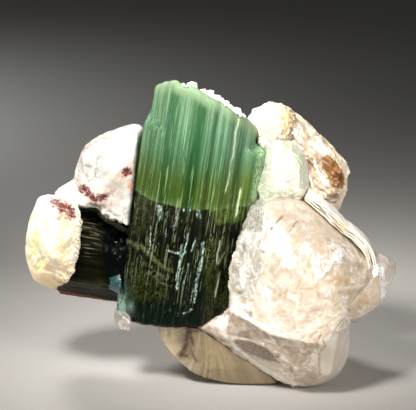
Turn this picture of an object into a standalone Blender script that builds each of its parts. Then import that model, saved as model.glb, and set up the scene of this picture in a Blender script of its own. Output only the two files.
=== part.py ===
"""Tourmaline on mica matrix: a hand-sized mineral specimen, each crystal its own closed solid.

Run with: blender --background --python part.py

Lengths are in millimetres and turned into metres where a mesh is made. +Z is up and -Y is the front.
Corners are measured from the floor under the root of the large tourmaline; every object is then moved
so that the origin is the middle of the flat foot that the specimen stands on.
"""

import itertools
import math

import bmesh
import bpy
import numpy as np
from mathutils import Vector

MM = 0.001
CLEARANCE = 0.25  # left between pieces that grew against each other
RELIEF_ROOM = 0.35  # more of it around the lumpy pieces
SEAT_ANGLES = 28
FOOT_CENTRE = (5.5, 7.6)  # middle of the flat foot, right of and behind the tourmaline's root

# The large tourmaline: a nine-sided rounded prism that leans right and a little forward.
MAIN_ROOT = (-4.2, 0.0, 7.7)
MAIN_LEAN = 8.3  # degrees to the right
MAIN_NOD = 2.0  # degrees towards the front
MAIN_LENGTH = 28.0
MAIN_FACES = (  # (direction of the prism face in degrees, its distance from the axis)
    (-112, 6.0),
    (-78, 6.1),
    (-40, 6.1),
    (-6, 6.35),
    (35, 6.1),
    (80, 5.6),
    (130, 5.9),
    (172, 6.35),
    (-148, 6.2),
)
MAIN_ANGLES = 84
MAIN_RIDGES = 21
MAIN_RIDGE_HEIGHT = 0.12
TOP_FALL_RIGHT = 0.38  # the broken top drops this much for each millimetre to the right
TOP_FALL_BACK = 0.35  # and to the back
ROOT_RISE_RIGHT = 0.14  # the lower end rises to the right
RIM = 0.7  # height of the worn rim at the top
SIDE_PRISM_TOP = 21.7  # a parallel prism on the right flank ends here
SIDE_PRISM_WIDTH = 1.45
SIDE_PRISM_DIRECTION = -12
SHOULDER_HEIGHT = 22.4  # the left flank steps in above this
SHOULDER_STEP = 0.6
SHOULDER_SLOPE = 1.1  # height over which it steps in
SIDE_PRISM_SLOPE = 0.7  # height over which the side prism ends

# The second tourmaline: a thinner prism that lies across behind the left flank.
SIDE_CENTRE = (-14.95, 3.0, 14.25)
SIDE_AXIS = (1.0, 0.055, -0.17)
SIDE_ACROSS = (0.17, 0.0, 1.0)  # angles around the axis are counted from this direction
SIDE_ENDS = (-1.9, 7.5)
SIDE_FACES = ((-100, 4.9), (-52, 5.0), (-8, 5.0), (40, 5.1), (90, 5.0), (140, 4.9), (-170, 5.0), (-140, 5.0))
SIDE_ANGLES = 48
SIDE_RIDGES = 16
SIDE_RIDGE_HEIGHT = 0.08

QUARTZ_BLOCK = (  # corners of the large quartz
    (5.5, -2.0, 22.4),
    (7.0, -5.0, 23.0),
    (10.8, -5.0, 22.9),
    (6.0, -8.0, 22.9),
    (3.8, -5.5, 20.8),
    (3.2, -5.5, 18.0),
    (2.1, -6.0, 15.8),
    (1.7, -6.5, 14.5),
    (1.7, -7.0, 12.2),
    (2.1, -7.5, 10.1),
    (4.6, -10.0, 9.6),
    (6.9, -11.0, 8.2),
    (10.0, -11.5, 7.8),
    (6.0, -11.5, 16.9),
    (10.3, -11.0, 19.4),
    (11.7, -12.5, 14.4),
    (14.6, -9.5, 13.2),
    (16.3, -8.0, 13.0),
    (18.5, -5.0, 13.2),
    (18.5, -4.5, 14.9),
    (17.8, -3.0, 15.9),
    (15.5, -2.5, 17.9),
    (14.4, -10.0, 17.3),
    (6.0, 3.0, 18.9),
    (11.5, 4.0, 18.4),
    (16.1, 4.0, 13.6),
    (17.7, 2.0, 11.4),
    (13.8, 3.0, 5.2),
    (6.0, 1.0, 4.6),
)
QUARTZ_UNDER = (  # corners of its undercut lower left part
    (-2.1, -1.0, 6.0),
    (-1.2, -3.0, 7.4),
    (0.6, -5.0, 8.2),
    (2.1, -7.3, 10.0),
    (4.6, -9.8, 9.6),
    (6.9, -10.8, 8.2),
    (10.0, -11.3, 7.7),
    (12.5, -10.5, 7.3),
    (1.8, -6.3, 6.7),
    (6.0, -9.7, 7.3),
    (2.6, -6.5, 5.8),
    (5.2, -8.2, 5.0),
    (7.8, -9.0, 4.7),
    (9.8, -9.3, 3.9),
    (3.5, -5.0, 3.9),
    (6.0, -5.3, 1.9),
    (6.9, -5.2, 1.2),
    (8.4, -5.4, 0.5),
    (9.5, -5.3, 0.3),
    (3.5, 3.0, 4.6),
    (10.3, 2.0, 1.3),
    (6.9, -1.0, 0.8),
    (10.3, -4.0, 11.4),
)
QUARTZ_COLUMN = (  # corners of the clear column that stands in front of it
    (11.0, -11.0, 8.0),
    (12.5, -10.8, 7.3),
    (12.7, -11.2, 10.1),
    (13.9, -10.2, 9.3),
    (15.6, -7.5, 8.6),
    (16.0, -5.0, 10.1),
    (16.2, -4.5, 7.7),
    (16.2, -4.5, 4.9),
    (15.8, -4.8, 3.0),
    (15.1, -5.0, 1.7),
    (14.0, -5.0, 0.7),
    (12.4, -5.1, 0.1),
    (10.3, -5.2, 0.0),
    (9.5, -5.6, 0.6),
    (9.8, -9.2, 3.8),
    (11.7, -9.9, 5.2),
    (14.7, -7.8, 5.9),
    (13.8, -9.0, 12.8),
    (10.3, -6.0, 11.9),
    (16.0, 1.0, 5.8),
    (15.9, 1.0, 2.8),
    (14.5, 2.0, 0.0),
    (10.3, 2.0, 0.0),
    (9.2, 1.0, 6.4),
)
QUARTZ_LEFT = (
    (-7.6, 1.0, 29.4),
    (-8.3, 2.0, 29.6),
    (-9.2, 2.5, 29.5),
    (-10.3, 2.0, 29.2),
    (-13.1, 2.0, 28.1),
    (-14.0, 2.0, 27.4),
    (-14.8, 2.0, 26.5),
    (-15.1, 1.5, 25.4),
    (-15.8, 1.5, 23.6),
    (-16.8, 1.5, 22.5),
    (-17.9, 2.0, 21.3),
    (-17.2, -1.0, 21.6),
    (-15.0, -2.0, 21.1),
    (-13.0, -3.0, 21.1),
    (-11.3, -2.5, 19.2),
    (-9.5, -2.0, 18.5),
    (-10.8, -3.8, 25.4),
    (-12.9, -2.5, 27.7),
    (-14.5, -2.5, 26.9),
    (-8.7, -1.0, 29.4),
    (-6.9, 8.0, 24.7),
    (-10.3, 9.0, 24.2),
    (-13.2, 9.0, 23.2),
    (-14.5, 9.0, 19.0),
    (-15.0, 7.0, 17.2),
    (-6.9, 8.0, 13.9),
    (-5.8, 9.0, 19.6),
)
FELDSPAR_KNOB = (
    (-17.9, 1.0, 21.7),
    (-19.0, 1.0, 21.7),
    (-19.8, 1.0, 21.2),
    (-20.4, 1.0, 20.2),
    (-20.8, 1.0, 18.8),
    (-21.3, 1.0, 17.4),
    (-21.5, 1.5, 15.8),
    (-21.5, 1.5, 14.2),
    (-21.2, 2.0, 12.6),
    (-20.7, 2.0, 11.3),
    (-20.2, 2.2, 10.4),
    (-19.3, 2.5, 9.8),
    (-18.6, 2.5, 9.4),
    (-17.9, 2.3, 9.4),
    (-17.5, 1.0, 10.2),
    (-16.8, -1.5, 11.5),
    (-16.0, -2.5, 12.5),
    (-15.4, -3.0, 13.5),
    (-15.1, -3.4, 15.2),
    (-14.7, -3.5, 16.6),
    (-14.6, -3.5, 18.4),
    (-14.7, -3.0, 20.3),
    (-15.1, -2.5, 21.5),
    (-16.6, -1.0, 22.0),
    (-18.4, -4.8, 21.2),
    (-17.2, -5.6, 18.8),
    (-18.6, -4.8, 15.8),
    (-17.2, -4.8, 15.0),
    (-20.2, -2.5, 17.5),
    (-19.1, -2.0, 12.6),
    (-18.4, 6.0, 17.2),
    (-20.0, 7.0, 13.6),
    (-19.8, 7.0, 9.4),
    (-17.0, 7.5, 8.1),
    (-15.2, 8.0, 11.3),
    (-15.5, 8.0, 15.7),
)
KNOB_PITS = (((-20.6, -1.8, 15.6), 1.5, 0.7), ((-19.6, -3.4, 12.8), 1.2, 0.5))  # (place, size, depth)
FELDSPAR_UPPER = (
    (4.6, 0.0, 30.9),
    (4.9, 0.0, 31.5),
    (6.0, 1.0, 31.8),
    (6.7, 1.0, 32.3),
    (8.1, 1.0, 32.3),
    (8.6, 1.5, 31.8),
    (8.7, -1.0, 31.1),
    (8.5, -1.8, 29.6),
    (8.1, -1.8, 28.5),
    (6.3, -1.8, 28.3),
    (5.3, -1.5, 28.7),
    (4.9, -1.5, 30.0),
    (6.0, -3.0, 31.7),
    (7.6, -3.0, 31.4),
    (7.1, -3.2, 29.8),
    (5.1, 6.0, 28.2),
    (6.7, 7.0, 29.0),
    (8.5, 6.0, 29.1),
    (8.7, 5.0, 26.5),
    (5.3, 5.0, 26.1),
)
FELDSPAR_PALE = (
    (6.3, -2.0, 28.6),
    (8.3, -2.0, 28.7),
    (9.9, -2.0, 28.4),
    (10.6, -1.8, 27.3),
    (11.2, -1.8, 25.9),
    (11.2, -3.0, 23.1),
    (10.3, -4.0, 22.6),
    (6.0, -4.0, 22.6),
    (5.6, -3.0, 23.7),
    (6.0, -2.5, 25.1),
    (6.7, -2.5, 26.7),
    (7.1, -3.4, 28.0),
    (9.3, -3.6, 28.0),
    (10.0, -4.4, 26.4),
    (6.9, -4.4, 25.8),
    (10.1, -5.0, 23.6),
    (6.6, -5.0, 23.6),
    (6.0, 4.0, 24.6),
    (10.3, 4.0, 24.6),
    (11.2, 3.0, 20.1),
    (5.5, 3.0, 19.5),
)
QUARTZ_NUB = (
    (18.5, -1.0, 15.3),
    (19.3, -1.0, 15.1),
    (20.5, -0.5, 14.3),
    (21.3, 0.0, 13.5),
    (21.4, 0.0, 12.4),
    (20.8, -0.5, 11.0),
    (20.2, -1.0, 9.7),
    (19.1, -1.0, 8.4),
    (17.2, -1.5, 7.4),
    (16.1, -1.0, 6.8),
    (16.3, -4.5, 11.5),
    (18.6, -4.5, 12.7),
    (20.1, -3.5, 13.9),
    (18.6, -3.8, 14.7),
    (19.3, -4.0, 11.1),
    (17.9, -4.5, 10.2),
    (20.1, 5.0, 11.8),
    (20.9, 5.0, 10.9),
    (20.1, 6.0, 7.3),
    (16.7, 6.0, 4.3),
    (15.5, 6.0, 7.3),
    (17.8, 6.0, 11.1),
)
MICA_FAN = (
    (-6.0, -1.0, 6.7),
    (-5.9, -1.0, 5.0),
    (-5.3, -1.5, 4.0),
    (-4.5, -2.0, 3.3),
    (-3.9, -2.2, 2.5),
    (-3.2, -2.5, 1.9),
    (-2.1, -2.8, 1.0),
    (-0.6, -3.0, 0.6),
    (1.4, -3.2, 0.1),
    (3.2, -3.6, 0.0),
    (4.6, -3.8, 0.0),
    (6.1, -3.8, 0.3),
    (6.8, -4.0, 0.8),
    (-5.2, -3.0, 7.3),
    (-2.9, -5.5, 7.6),
    (-1.2, -6.3, 7.7),
    (0.6, -6.6, 6.6),
    (3.5, -6.3, 4.3),
    (6.0, -5.8, 2.2),
    (-2.3, -5.2, 4.5),
    (0.6, -5.0, 2.3),
    (-5.2, 5.0, 4.0),
    (-2.9, 5.0, 1.6),
    (0.6, 1.0, 0.0),
    (6.0, 1.0, 0.0),
    (2.3, 4.0, 4.3),
)
FAN_APEX = (-1.2, 0.0, 8.2)  # the ribs of the fan spread from here
FAN_RIBS = 13
FAN_RIB_HEIGHT = 0.3

MICA_UPPER = (
    (8.7, 3.5, 31.2),
    (9.5, 3.0, 31.0),
    (10.5, 3.0, 30.3),
    (11.3, 2.5, 29.7),
    (12.0, 2.5, 28.7),
    (12.7, 2.5, 27.7),
    (13.5, 2.5, 26.6),
    (14.7, 2.5, 25.9),
    (15.4, 2.5, 25.3),
    (15.9, 2.5, 24.5),
    (16.0, 3.0, 23.0),
    (15.8, 3.0, 21.3),
    (15.3, 3.0, 20.3),
    (14.8, 3.0, 19.1),
    (12.7, -1.5, 21.8),
    (10.6, -2.0, 23.0),
    (9.2, -1.0, 27.3),
    (10.3, 0.0, 30.0),
    (12.4, -2.0, 27.3),
    (14.6, -2.0, 25.8),
    (14.7, -1.5, 22.9),
    (6.9, 5.0, 27.9),
    (6.0, 6.0, 23.5),
    (6.0, 6.0, 17.5),
    (9.2, 10.0, 27.3),
    (12.7, 11.0, 22.6),
    (15.2, 10.0, 19.6),
    (14.4, 9.0, 15.4),
    (6.9, 11.0, 13.7),
    (6.0, 10.0, 24.1),
)
MICA_BACK = (
    (-9.0, 9.0, 24.5),
    (0.0, 10.0, 26.0),
    (8.0, 11.0, 25.5),
    (13.0, 11.0, 22.0),
    (-13.5, 7.0, 19.5),
    (-14.0, 8.0, 13.0),
    (-11.0, 8.0, 9.0),
    (-6.0, 7.0, 6.0),
    (-4.0, 9.0, 3.0),
    (16.0, 8.0, 16.0),
    (18.0, 7.0, 10.0),
    (16.5, 7.0, 7.0),
    (14.0, 10.0, 5.0),
    (-10.0, 12.0, 18.0),
    (-4.0, 14.0, 14.0),
    (4.0, 15.0, 20.0),
    (4.0, 15.5, 10.0),
    (11.0, 13.5, 16.0),
    (12.0, 13.0, 9.0),
    (-2.0, 12.5, 6.0),
    (-8.0, 3.0, 16.0),
    (8.0, 3.0, 16.0),
    (0.0, 3.0, 8.0),
)
MICA_FOOT = (
    (-3.6, 8.5, 0.0),
    (-2.4, 5.2, 0.0),
    (1.0, 3.6, 0.0),
    (6.0, 3.4, 0.0),
    (15.0, 3.8, 0.0),
    (15.6, 7.0, 0.0),
    (13.0, 11.5, 0.0),
    (4.0, 13.0, 0.0),
    (-1.0, 12.3, 0.0),
    (-5.0, 9.0, 7.0),
    (-4.0, 5.0, 7.5),
    (8.0, 1.5, 7.5),
    (16.5, 2.0, 7.0),
    (16.0, 8.0, 8.0),
    (13.0, 12.5, 8.0),
    (3.0, 14.2, 9.0),
)
UPPER_CLEAVAGE = (0.55, -0.25, 0.80)  # across the mica sheets of the upper right mass
BACK_CLEAVAGE = (-0.25, 0.90, 0.35)
FOOT_CLEAVAGE = (0.0, 0.0, 1.0)

BOOK_PATH = (  # inner edge of the curved mica packet, (right, up), from its upper to its lower end
    (10.7, 22.5),
    (12.8, 20.7),
    (14.5, 19.1),
    (16.1, 17.8),
    (17.2, 16.8),
    (17.7, 15.7),
    (18.1, 14.2),
)
BOOK_SHEETS = 4
BOOK_THICKNESS = 1.0
BOOK_FRONTS = (-5.6, -5.1, -5.3, -4.7)  # front edge of each sheet, inner to outer
BOOK_BACKS = (-3.0, -2.5, -2.8, -3.1)

CRUST_LUMPS = (  # white flakes on the broken top: (right, behind, size, height), in the crystal's own axes
    (-2.0, -3.6, 1.0, 0.35),
    (-1.9, -2.2, 1.1, 0.3),
    (-0.7, -2.8, 1.1, 0.1),
    (0.4, -3.4, 1.1, 0.45),
    (1.4, -2.6, 1.1, 0.4),
    (2.2, -3.6, 1.1, 0.55),
    (3.1, -2.6, 1.1, 0.4),
    (3.9, -1.6, 1.2, 0.45),
    (2.2, -1.2, 1.3, 0.4),
    (0.4, -1.2, 1.3, 0.3),
    (-1.4, -1.0, 1.3, 0.3),
)
CRUST_SIDES = 6

CHIP_LOW = (
    (-11.0, -2.2, 8.7),
    (-10.4, -4.2, 8.8),
    (-9.1, -5.1, 7.9),
    (-11.0, -2.0, 7.2),
    (-10.4, -4.0, 6.7),
    (-9.2, -4.8, 6.7),
    (-9.3, -2.2, 6.5),
    (-9.1, -3.0, 8.3),
)
CHIP_SIDE = (
    (-11.6, -1.8, 12.2),
    (-10.3, -2.9, 13.0),
    (-10.1, -3.8, 11.7),
    (-10.2, -2.6, 10.4),
    (-11.6, -1.4, 10.8),
    (-11.8, 0.0, 11.2),
    (-10.2, 1.0, 12.2),
)


def clear_scene():
    for obj in list(bpy.data.objects):
        bpy.data.objects.remove(obj)


def mineral(name, colour, roughness, transmission=0.0):
    """A Principled material for one mineral."""
    material = bpy.data.materials.new(name)
    material.use_nodes = True
    shader = material.node_tree.nodes["Principled BSDF"]
    shader.inputs["Base Color"].default_value = (*colour, 1.0)
    shader.inputs["Roughness"].default_value = roughness
    shader.inputs["Transmission Weight"].default_value = transmission
    shader.inputs["Metallic"].default_value = 0.0
    return material


def add_object(name, mesh, material=None):
    obj = bpy.data.objects.new(name, mesh)
    bpy.context.scene.collection.objects.link(obj)
    if material:
        mesh.materials.clear()
        mesh.materials.append(material)
    return obj


def mesh_from(name, points, faces):
    """A mesh of points in millimetres, with its faces turned outwards."""
    mesh = bpy.data.meshes.new(name)
    mesh.from_pydata([tuple(p) for p in np.asarray(points) * MM], [], faces)
    bm = bmesh.new()
    bm.from_mesh(mesh)
    bmesh.ops.triangulate(bm, faces=[f for f in bm.faces if len(f.verts) > 4])
    bmesh.ops.recalc_face_normals(bm, faces=bm.faces)
    bm.to_mesh(mesh)
    bm.free()
    return mesh


def smooth_noise(points, cell, seed):
    """Noise from -1 to 1 that varies smoothly over one cell, in the units of the points."""
    scaled = np.asarray(points, float) / cell + 1000.0
    base = np.floor(scaled).astype(np.int64)
    part = scaled - base
    part = part * part * (3 - 2 * part)
    total = np.zeros(scaled.shape[:-1])
    for corner in itertools.product((0, 1), repeat=3):
        at = base + np.array(corner)
        mixed = at[..., 0] * 73856093 ^ at[..., 1] * 19349663 ^ at[..., 2] * 83492791 ^ seed * 50331653
        mixed = ((mixed ^ (mixed >> 13)) & 0xFFFFFF) * 1274126177 & 0xFFFFFFFF
        mixed = (mixed ^ (mixed >> 16)) & 0xFFFF
        weight = np.prod(np.where(corner, part, 1 - part), axis=-1)
        total += weight * (mixed / 32767.5 - 1)
    return total


def hull(corners):
    """The convex solid over some corners, as a bmesh in millimetres."""
    bm = bmesh.new()
    for corner in corners:
        bm.verts.new(tuple(corner))
    made = bmesh.ops.convex_hull(bm, input=bm.verts)
    loose = {g for g in made["geom_interior"] + made["geom_unused"] if isinstance(g, bmesh.types.BMVert)}
    bmesh.ops.delete(bm, geom=list(loose), context="VERTS")
    bmesh.ops.recalc_face_normals(bm, faces=bm.faces)
    return bm


def hull_planes(corners):
    """(normals, distances) of the planes that bound the convex solid over some corners."""
    bm = hull(corners)
    normals = np.array([f.normal[:] for f in bm.faces])
    distances = np.array([f.normal.dot(f.verts[0].co) for f in bm.faces])
    bm.free()
    return normals, distances


def hull_mesh(name, corners):
    bm = hull(corners)
    bmesh.ops.scale(bm, vec=(MM, MM, MM), verts=bm.verts)
    mesh = bpy.data.meshes.new(name)
    bm.to_mesh(mesh)
    bm.free()
    return mesh


def ring_faces(rings, count):
    """Quads between neighbouring rings of a tube whose points run ring by ring."""
    return [
        (r * count + k, r * count + (k + 1) % count, (r + 1) * count + (k + 1) % count, (r + 1) * count + k)
        for r in range(rings - 1)
        for k in range(count)
    ]


def closed_tube(name, rings, low_tip, high_tip):
    """A closed solid over rings of points, shape (rings, count, 3), with a tip in the middle of each end."""
    levels, count = rings.shape[:2]
    faces = ring_faces(levels, count)
    low, high = levels * count, levels * count + 1
    last = (levels - 1) * count
    faces += [((k + 1) % count, k, low) for k in range(count)]
    faces += [(last + k, last + (k + 1) % count, high) for k in range(count)]
    points = np.vstack([rings.reshape(-1, 3), low_tip, high_tip])
    return mesh_from(name, points, faces)


def open_section_tube(name, rings):
    """A closed solid over rings of points whose two ends are plain polygons, of any outline."""
    levels, count = rings.shape[:2]
    ends = [tuple(range(count)), tuple(range((levels - 1) * count, levels * count))]
    return mesh_from(name, rings.reshape(-1, 3), ring_faces(levels, count) + ends)


def prism_radius(faces, angles, sharpness=34.0):
    """Distance from the axis to a prism with these (direction, distance) faces, its edges a little rounded."""
    gauge = np.zeros_like(angles)
    for direction, distance in faces:
        gauge += (np.maximum(0, np.cos(angles - math.radians(direction))) / distance) ** sharpness
    return gauge ** (-1 / sharpness)


def crystal_axes(along, across):
    """Right, behind and along directions of a crystal, from its axis and a direction near its right."""
    along = np.array(along, float) / np.linalg.norm(along)
    right = np.array(across, float) - along * np.dot(across, along)
    right /= np.linalg.norm(right)
    return np.array([right, np.cross(along, right), along])


def main_axes():
    lean, nod = math.radians(MAIN_LEAN), math.radians(MAIN_NOD)
    along = (math.sin(lean), -math.sin(nod), math.cos(lean) * math.cos(nod))
    return crystal_axes(along, (1, 0, 0))


def main_top(right, behind):
    """Height of the broken top over a point of the cross-section."""
    plain = MAIN_LENGTH - TOP_FALL_RIGHT * right - TOP_FALL_BACK * (behind + 6)
    worn_corner = 0.55 * np.maximum(0, -right - 3.6) ** 1.3
    waves = 0.3 * smooth_noise(np.stack([right, behind, 0 * right], -1), 2.2, 5)
    return plain - worn_corner + waves


def side_prism(angles):
    """How far the side prism stands out from the large prism in each direction."""
    return SIDE_PRISM_WIDTH * np.exp(-((np.degrees(angles) - SIDE_PRISM_DIRECTION) / 19.0) ** 4)


def main_radius(angles, height):
    """The prism with its right-hand side prism below SIDE_PRISM_TOP and the left shoulder above."""
    radius = prism_radius(MAIN_FACES, angles)
    radius = radius + side_prism(angles) * np.clip((SIDE_PRISM_TOP - height) / SIDE_PRISM_SLOPE, 0, 1)
    left = np.exp(-((np.degrees(angles) % 360 - 186) / 34.0) ** 4)
    radius = radius - SHOULDER_STEP * left * np.clip((height - SHOULDER_HEIGHT) / SHOULDER_SLOPE, 0, 1)
    return radius + MAIN_RIDGE_HEIGHT * np.cos(MAIN_RIDGES * angles + 2.0 * np.sin(2 * angles))


def ring_points(angles, radius, height):
    """Points around a crystal's axis, in its own (right, behind, along) axes."""
    return np.stack([radius * np.cos(angles), radius * np.sin(angles), radius * 0 + height], -1)


def main_seat():
    """Two plain prisms that hold the large tourmaline: up to the side prism's top, and above it."""
    angles = np.radians(np.arange(SEAT_ANGLES) * 360 / SEAT_ANGLES - 180)
    narrow = prism_radius(MAIN_FACES, angles) + MAIN_RIDGE_HEIGHT
    wide = narrow + side_prism(angles)
    root = ROOT_RISE_RIGHT * narrow * np.cos(angles)
    top = main_top(narrow * np.cos(angles), narrow * np.sin(angles))
    lower = np.vstack([ring_points(angles, wide, root), ring_points(angles, wide, SIDE_PRISM_TOP)])
    upper = np.vstack([ring_points(angles, narrow, SIDE_PRISM_TOP - 2), ring_points(angles, narrow, top)])
    return [part @ main_axes() + np.array(MAIN_ROOT) for part in (lower, upper)]


def side_seat():
    angles = np.radians(np.arange(SEAT_ANGLES) * 360 / SEAT_ANGLES - 180)
    radius = prism_radius(SIDE_FACES, angles) + SIDE_RIDGE_HEIGHT
    rings = np.vstack([ring_points(angles, radius, end) for end in SIDE_ENDS])
    return [rings @ crystal_axes(SIDE_AXIS, SIDE_ACROSS) + np.array(SIDE_CENTRE)]


def tourmaline_main(material):
    """Rings of the striated prism from its tilted root to its broken, worn top."""
    axes = main_axes()
    angles = np.radians(np.arange(MAIN_ANGLES) * 360 / MAIN_ANGLES - 180)
    edge = prism_radius(MAIN_FACES, angles)
    low = ROOT_RISE_RIGHT * edge * np.cos(angles)
    high = main_top(edge * np.cos(angles), edge * np.sin(angles))
    steps = (SIDE_PRISM_TOP - SIDE_PRISM_SLOPE, SIDE_PRISM_TOP, SHOULDER_HEIGHT, SHOULDER_HEIGHT + SHOULDER_SLOPE)
    levels = [(low, 0.35), (low + 0.4, 0.0)]
    levels += [(np.minimum(step, high - RIM - 0.2 * (4 - k)), 0.0) for k, step in enumerate(steps)]
    levels += [(high - RIM, 0.0), (high, 0.45)]
    rings = [ring_points(angles, main_radius(angles, height) - inset, height) for height, inset in levels]
    top = rings[-1] * (0.5, 0.5, 1.0)
    top[:, 2] = main_top(top[:, 0], top[:, 1])
    rings.append(top)
    tips = (0, 0, 0), (0, 0, main_top(np.array(0.0), np.array(0.0)))
    rings, low_tip, high_tip = (np.array(p) @ axes + np.array(MAIN_ROOT) for p in (rings, *tips))
    mesh = closed_tube("tourmaline_main", rings, low_tip, high_tip)
    return add_object("tourmaline_main", mesh, material)


def tourmaline_side(material):
    """The second prism, with plain ends hidden in its neighbours."""
    axes = crystal_axes(SIDE_AXIS, SIDE_ACROSS)
    angles = np.radians(np.arange(SIDE_ANGLES) * 360 / SIDE_ANGLES - 180)
    radius = prism_radius(SIDE_FACES, angles) + SIDE_RIDGE_HEIGHT * np.cos(SIDE_RIDGES * angles)
    levels = ((SIDE_ENDS[0], 0.4), (SIDE_ENDS[0] + 0.5, 0.0), (2.5, 0.0), (SIDE_ENDS[1], 0.0))
    rings = [ring_points(angles, radius - inset, height) for height, inset in levels]
    tips = ((0, 0, end) for end in SIDE_ENDS)
    rings, low_tip, high_tip = (np.array(p) @ axes + np.array(SIDE_CENTRE) for p in (rings, *tips))
    mesh = closed_tube("tourmaline_side", rings, low_tip, high_tip)
    return add_object("tourmaline_side", mesh, material)


def crystal(name, material, *corner_sets):
    """Flat-faced crystals over sets of corners, grown into one solid."""
    parts = [add_object(f"{name}_{k}", hull_mesh(name, corners)) for k, corners in enumerate(corner_sets)]
    return fuse(name, material, parts)


def lump(name, material, corners, relief, sharpness, longitudes=28, latitudes=15):
    """A rounded mass over some corners. relief(points) says how much each point moves outwards."""
    normals, distances = hull_planes(corners)
    centre = np.mean(corners, axis=0)
    distances = distances - normals @ centre
    turn = np.arange(longitudes) * math.tau / longitudes
    climb = np.linspace(-math.pi / 2, math.pi / 2, latitudes + 2)[1:-1]
    up, round_ = np.meshgrid(climb, turn, indexing="ij")
    directions = np.stack([np.cos(up) * np.cos(round_), np.cos(up) * np.sin(round_), np.sin(up)], -1)
    poles = np.array([(0, 0, -1.0), (0, 0, 1.0)])

    def surface(way):
        gauge = (np.maximum(0, way @ normals.T) / distances) ** sharpness
        reach = gauge.sum(-1) ** (-1 / sharpness)
        points = centre + way * reach[..., None]
        return points + way * relief(points)[..., None]

    tips = surface(poles)
    mesh = closed_tube(name, surface(directions), tips[0], tips[1])
    return add_object(name, mesh, material)


def mica_stack(name, corners, cleavage, sheets, angles, seed, ledge=0.10):
    """A stack of mica sheets that fills the convex mass over some corners, each sheet with its own ragged edge."""
    normals, distances = hull_planes(corners)
    corners = np.array(corners, float)
    axes = crystal_axes(cleavage, (1, 0, 0.01))
    heights = corners @ axes[2]
    low, high = heights.min(), heights.max()
    bottom = corners[heights < low + 0.01].mean(0)
    top = corners[heights > high - 0.01].mean(0)
    turn = np.arange(angles) * math.tau / angles
    ways = np.outer(np.cos(turn), axes[0]) + np.outer(np.sin(turn), axes[1])
    rings = []
    for sheet in range(sheets):
        ends = [(sheet + 0.02) / sheets, (sheet + 0.98) / sheets]
        if sheet == 0:
            ends[0] = 0.0
        middle = bottom + (top - bottom) * min(max((sheet + 0.5) / sheets, 0.06), 0.94)
        facing = ways @ normals.T
        room = distances - normals @ middle
        reach = np.where(facing > 1e-6, room / np.maximum(facing, 1e-6), np.inf).min(1)
        ragged = smooth_noise(np.stack([3 * np.cos(turn), 3 * np.sin(turn), 0 * turn + 7.3 * sheet], -1), 1.0, seed)
        reach = np.maximum(0.5, reach * (1 - ledge + ledge * ragged))
        for end in ends:
            rings.append(bottom + (top - bottom) * end + ways * reach[:, None])
    mesh = closed_tube(name, np.array(rings), bottom, bottom + (top - bottom) * (sheets - 0.02) / sheets)
    return add_object(name, mesh)


def book_rings():
    """A stepped section of sheet edges, carried along the inner path of the packet."""
    path = np.array(BOOK_PATH)
    ahead = np.gradient(path, axis=0)
    ahead /= np.linalg.norm(ahead, axis=1)[:, None]
    outward = np.stack([-ahead[:, 1], ahead[:, 0]], -1)
    levels = np.linspace(0, BOOK_THICKNESS, BOOK_SHEETS + 1)
    section = [(front, level) for k, front in enumerate(BOOK_FRONTS) for level in levels[k : k + 2]]
    section += [(back, level) for k, back in reversed(list(enumerate(BOOK_BACKS))) for level in levels[k : k + 2][::-1]]
    rings = []
    for spot, out in zip(path, outward):
        rings.append([(spot[0] + out[0] * level, depth, spot[1] + out[1] * level) for depth, level in section])
    return np.array(rings)


def mica_book(material):
    return add_object("mica_book", open_section_tube("mica_book", book_rings()), material)


def albite_crust(material):
    """Low white flakes grown together on the broken top of the large tourmaline."""
    parts = []
    for k, (right, behind, size, height) in enumerate(CRUST_LUMPS):
        turns = np.radians(np.arange(CRUST_SIDES) * 360 / CRUST_SIDES + 25 * k)
        outline = np.stack([right + size * np.cos(turns), behind + 0.9 * size * np.sin(turns)], -1)
        inner = (right, behind) + 0.6 * (outline - (right, behind))
        foot = np.column_stack([outline, main_top(outline[:, 0], outline[:, 1]) + 0.5 * CLEARANCE])
        crown = np.column_stack([inner, main_top(inner[:, 0], inner[:, 1]) + 2 * CLEARANCE + height])
        shoulder = foot + (0, 0, 0.15 + 1.5 * CLEARANCE)
        corners = np.vstack([foot, shoulder, crown]) @ main_axes() + np.array(MAIN_ROOT)
        parts.append(add_object(f"crust_{k}", hull_mesh("crust", corners)))
    return fuse("albite_crust", material, parts)


def applied(obj):
    """Replaces an object's mesh by what its modifiers make, keeping the largest body of it."""
    bpy.context.view_layer.update()
    graph = bpy.context.evaluated_depsgraph_get()
    mesh = bpy.data.meshes.new_from_object(obj.evaluated_get(graph))
    obj.modifiers.clear()
    bm = bmesh.new()
    bm.from_mesh(mesh)
    bmesh.ops.remove_doubles(bm, verts=bm.verts, dist=2e-6)
    bmesh.ops.dissolve_degenerate(bm, edges=bm.edges, dist=2e-6)
    bodies, waiting = [], set(bm.verts)
    while waiting:
        body, edge_of_body = set(), [waiting.pop()]
        while edge_of_body:
            vert = edge_of_body.pop()
            body.add(vert)
            near = {e.other_vert(vert) for e in vert.link_edges} & waiting
            waiting -= near
            edge_of_body += near
        bodies.append(body)
    largest = max(bodies, key=len)
    bmesh.ops.delete(bm, geom=[v for v in bm.verts if v not in largest], context="VERTS")
    bmesh.ops.triangulate(bm, faces=bm.faces)
    bm.to_mesh(mesh)
    bm.free()
    mesh.materials.clear()
    obj.data = mesh


def fuse(name, material, parts):
    """Joins overlapping closed parts into one solid."""
    first = parts[0]
    for other in parts[1:]:
        union = first.modifiers.new("union", "BOOLEAN")
        union.operation = "UNION"
        union.object = other
        union.solver = "EXACT"
    applied(first)
    for other in parts[1:]:
        bpy.data.objects.remove(other)
    first.name = name
    first.data.materials.append(material)
    return first


def spread(points, clearance=CLEARANCE):
    """The eight copies of some points at the corners of a cube of twice the clearance."""
    steps = np.array(list(itertools.product((-clearance, clearance), repeat=3)))
    return (np.asarray(points)[:, None, :] + steps[None]).reshape(-1, 3)


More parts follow.
